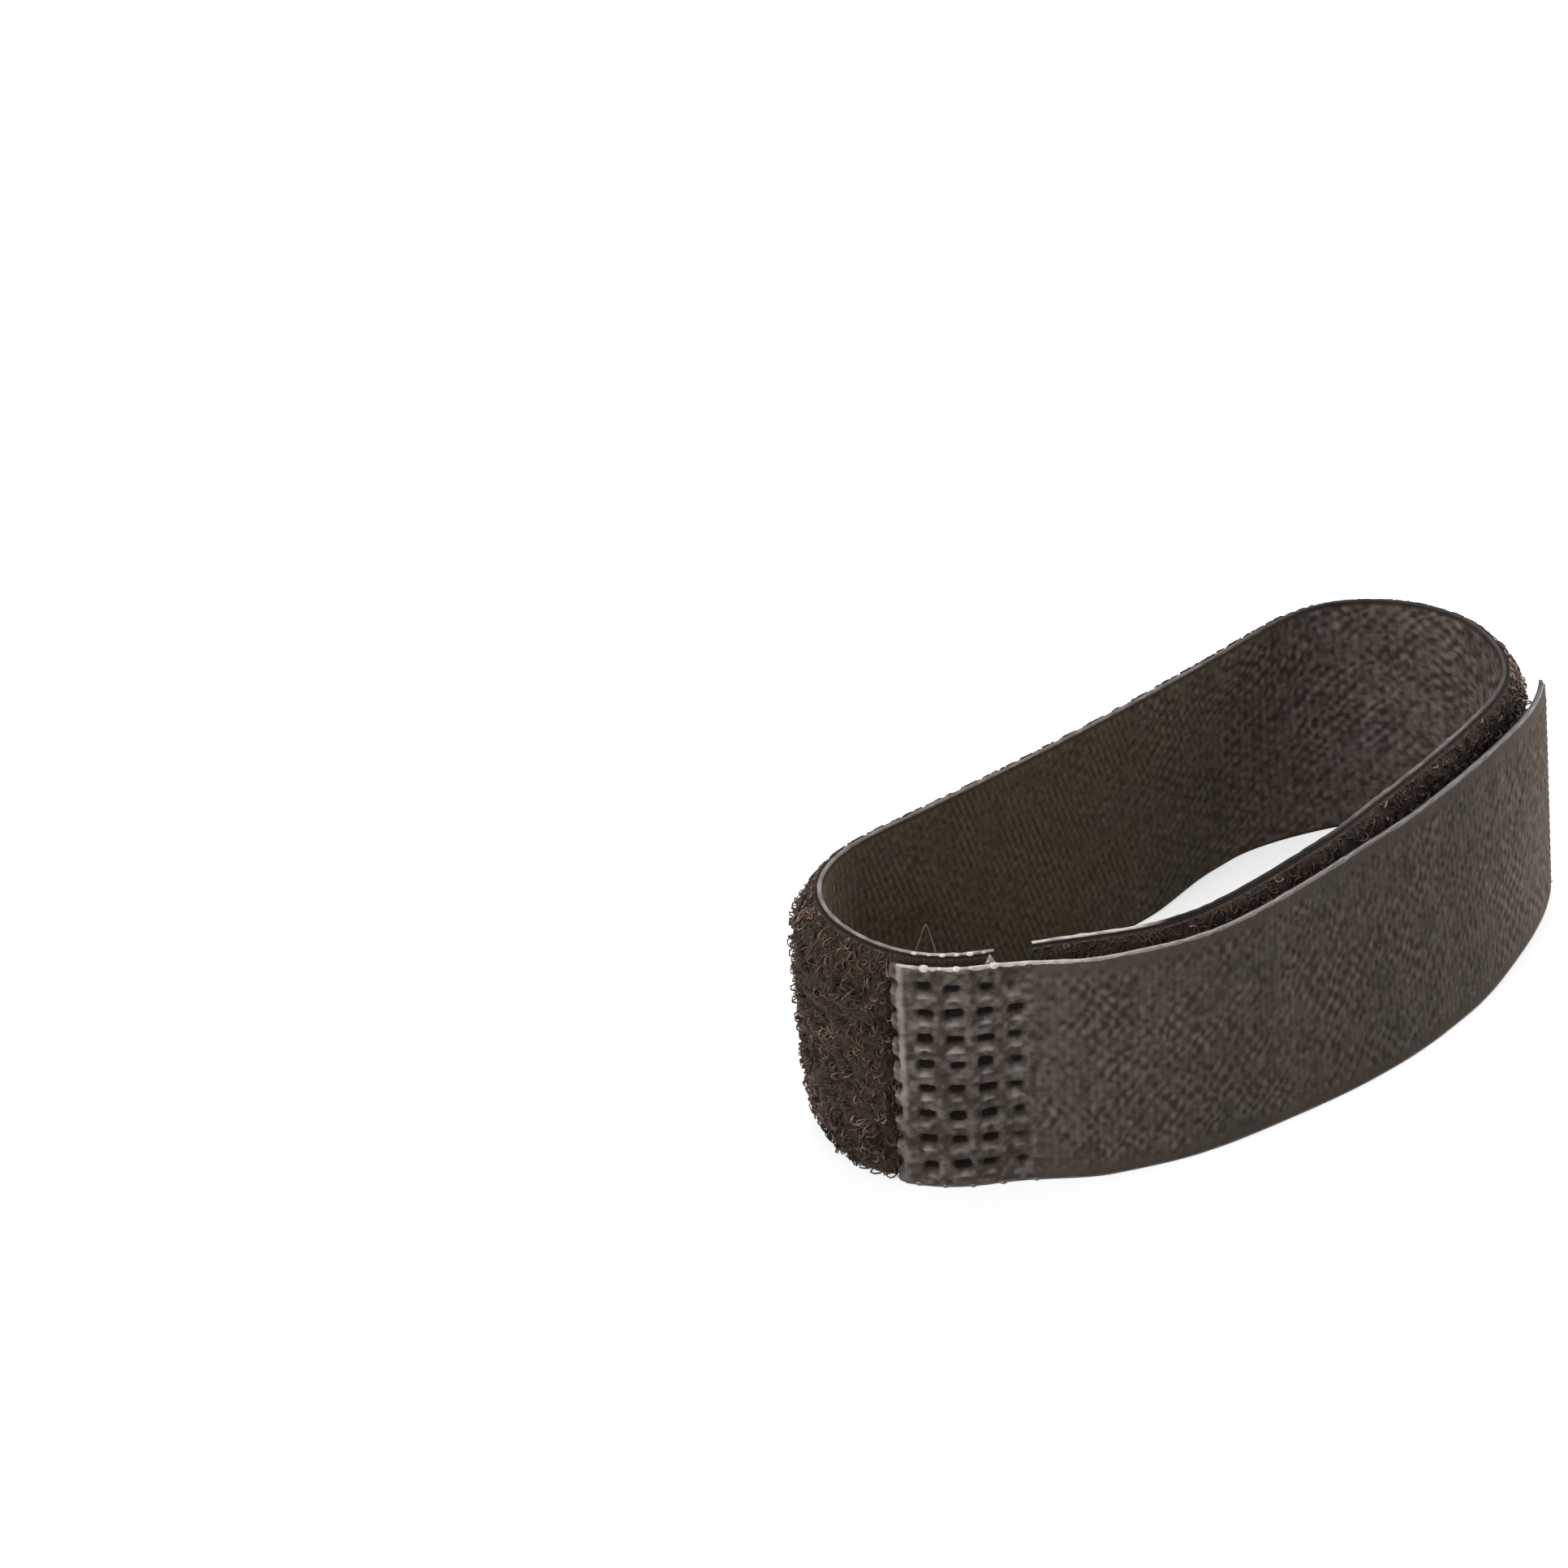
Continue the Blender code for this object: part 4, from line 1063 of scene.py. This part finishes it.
# Painted light: the along factors brighten the hook tape towards its free end, where light falls from the
# right.
hook_cloth = woven("hook_weave", pit_shade=(0.002, 0.0012, 0.0006), groove_shade=(0.032, 0.0235, 0.0168),
                   crown=(0.07, 0.0545, 0.0405), melt_glint=(0.28, 0.245, 0.232),
                   tints=((0.062, 0.0525, 0.0385), (0.072, 0.0525, 0.0455)),
                   along=((50.0, (1.0, 1.0, 1.0)), (64.0, (1.68, 1.65, 1.65))))
fibre, mat = pile_fibre(), pile_mat_material()
# The light ends of the edge materials are the painted highlight on the tapes' upper edges.
loop_edge = thread("loop_edge", (0.012, 0.008, 0.005), (0.66, 0.56, 0.53), 0.55, 0.15)
hook_edge = thread("hook_edge", (0.03, 0.021, 0.015), (0.6, 0.53, 0.5), 0.34, 0.6)
hook_wire = thread("hook_wire", (0.05, 0.04, 0.034), (0.09, 0.075, 0.066), 0.35, 0.5)
# Its light end paints a glint on the weld's upper beads.
melt_glint = thread("melted_nylon_glint", (0.05, 0.04, 0.036), (0.75, 0.7, 0.69), 0.25, 0.7)
dull = thread("dull_thread", (0.06, 0.05, 0.035), (0.17, 0.15, 0.11), 0.5, 0.4)

loop_sheet = loop_backing(loop_cloth)
loop_parts = [pile_mat(mat), *pile_loops(fibre), loose_thread(dull),
              edge_yarn("loop_edges", 0.1 * MM, LOOP_TAPE_LENGTH - 0.1 * MM, lay_loop,
                        LOOP_EDGE_RADIUS, LOOP_EDGE_HIGHLIGHTS, loop_edge)]
hook_sheet = hook_backing(hook_cloth)
hook_parts = [hooks(hook_wire), weld_beads(melt_glint), flake(melt_glint), frays(hook_edge),
              edge_yarn("hook_edges", 0.0, HOOK_CUT - 0.3 * MM, lay_hook,
                        HOOK_EDGE_RADIUS, HOOK_EDGE_HIGHLIGHTS, hook_edge)]

for made in (loop_sheet, *loop_parts):
    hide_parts("loop_tape")
for made in (hook_sheet, *hook_parts):
    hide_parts("hook_tape")

floor_and_world()
for name, values in LAMPS.items():
    lamp(name, *values)
camera()
bpy.context.scene.view_settings.view_transform = "Standard"
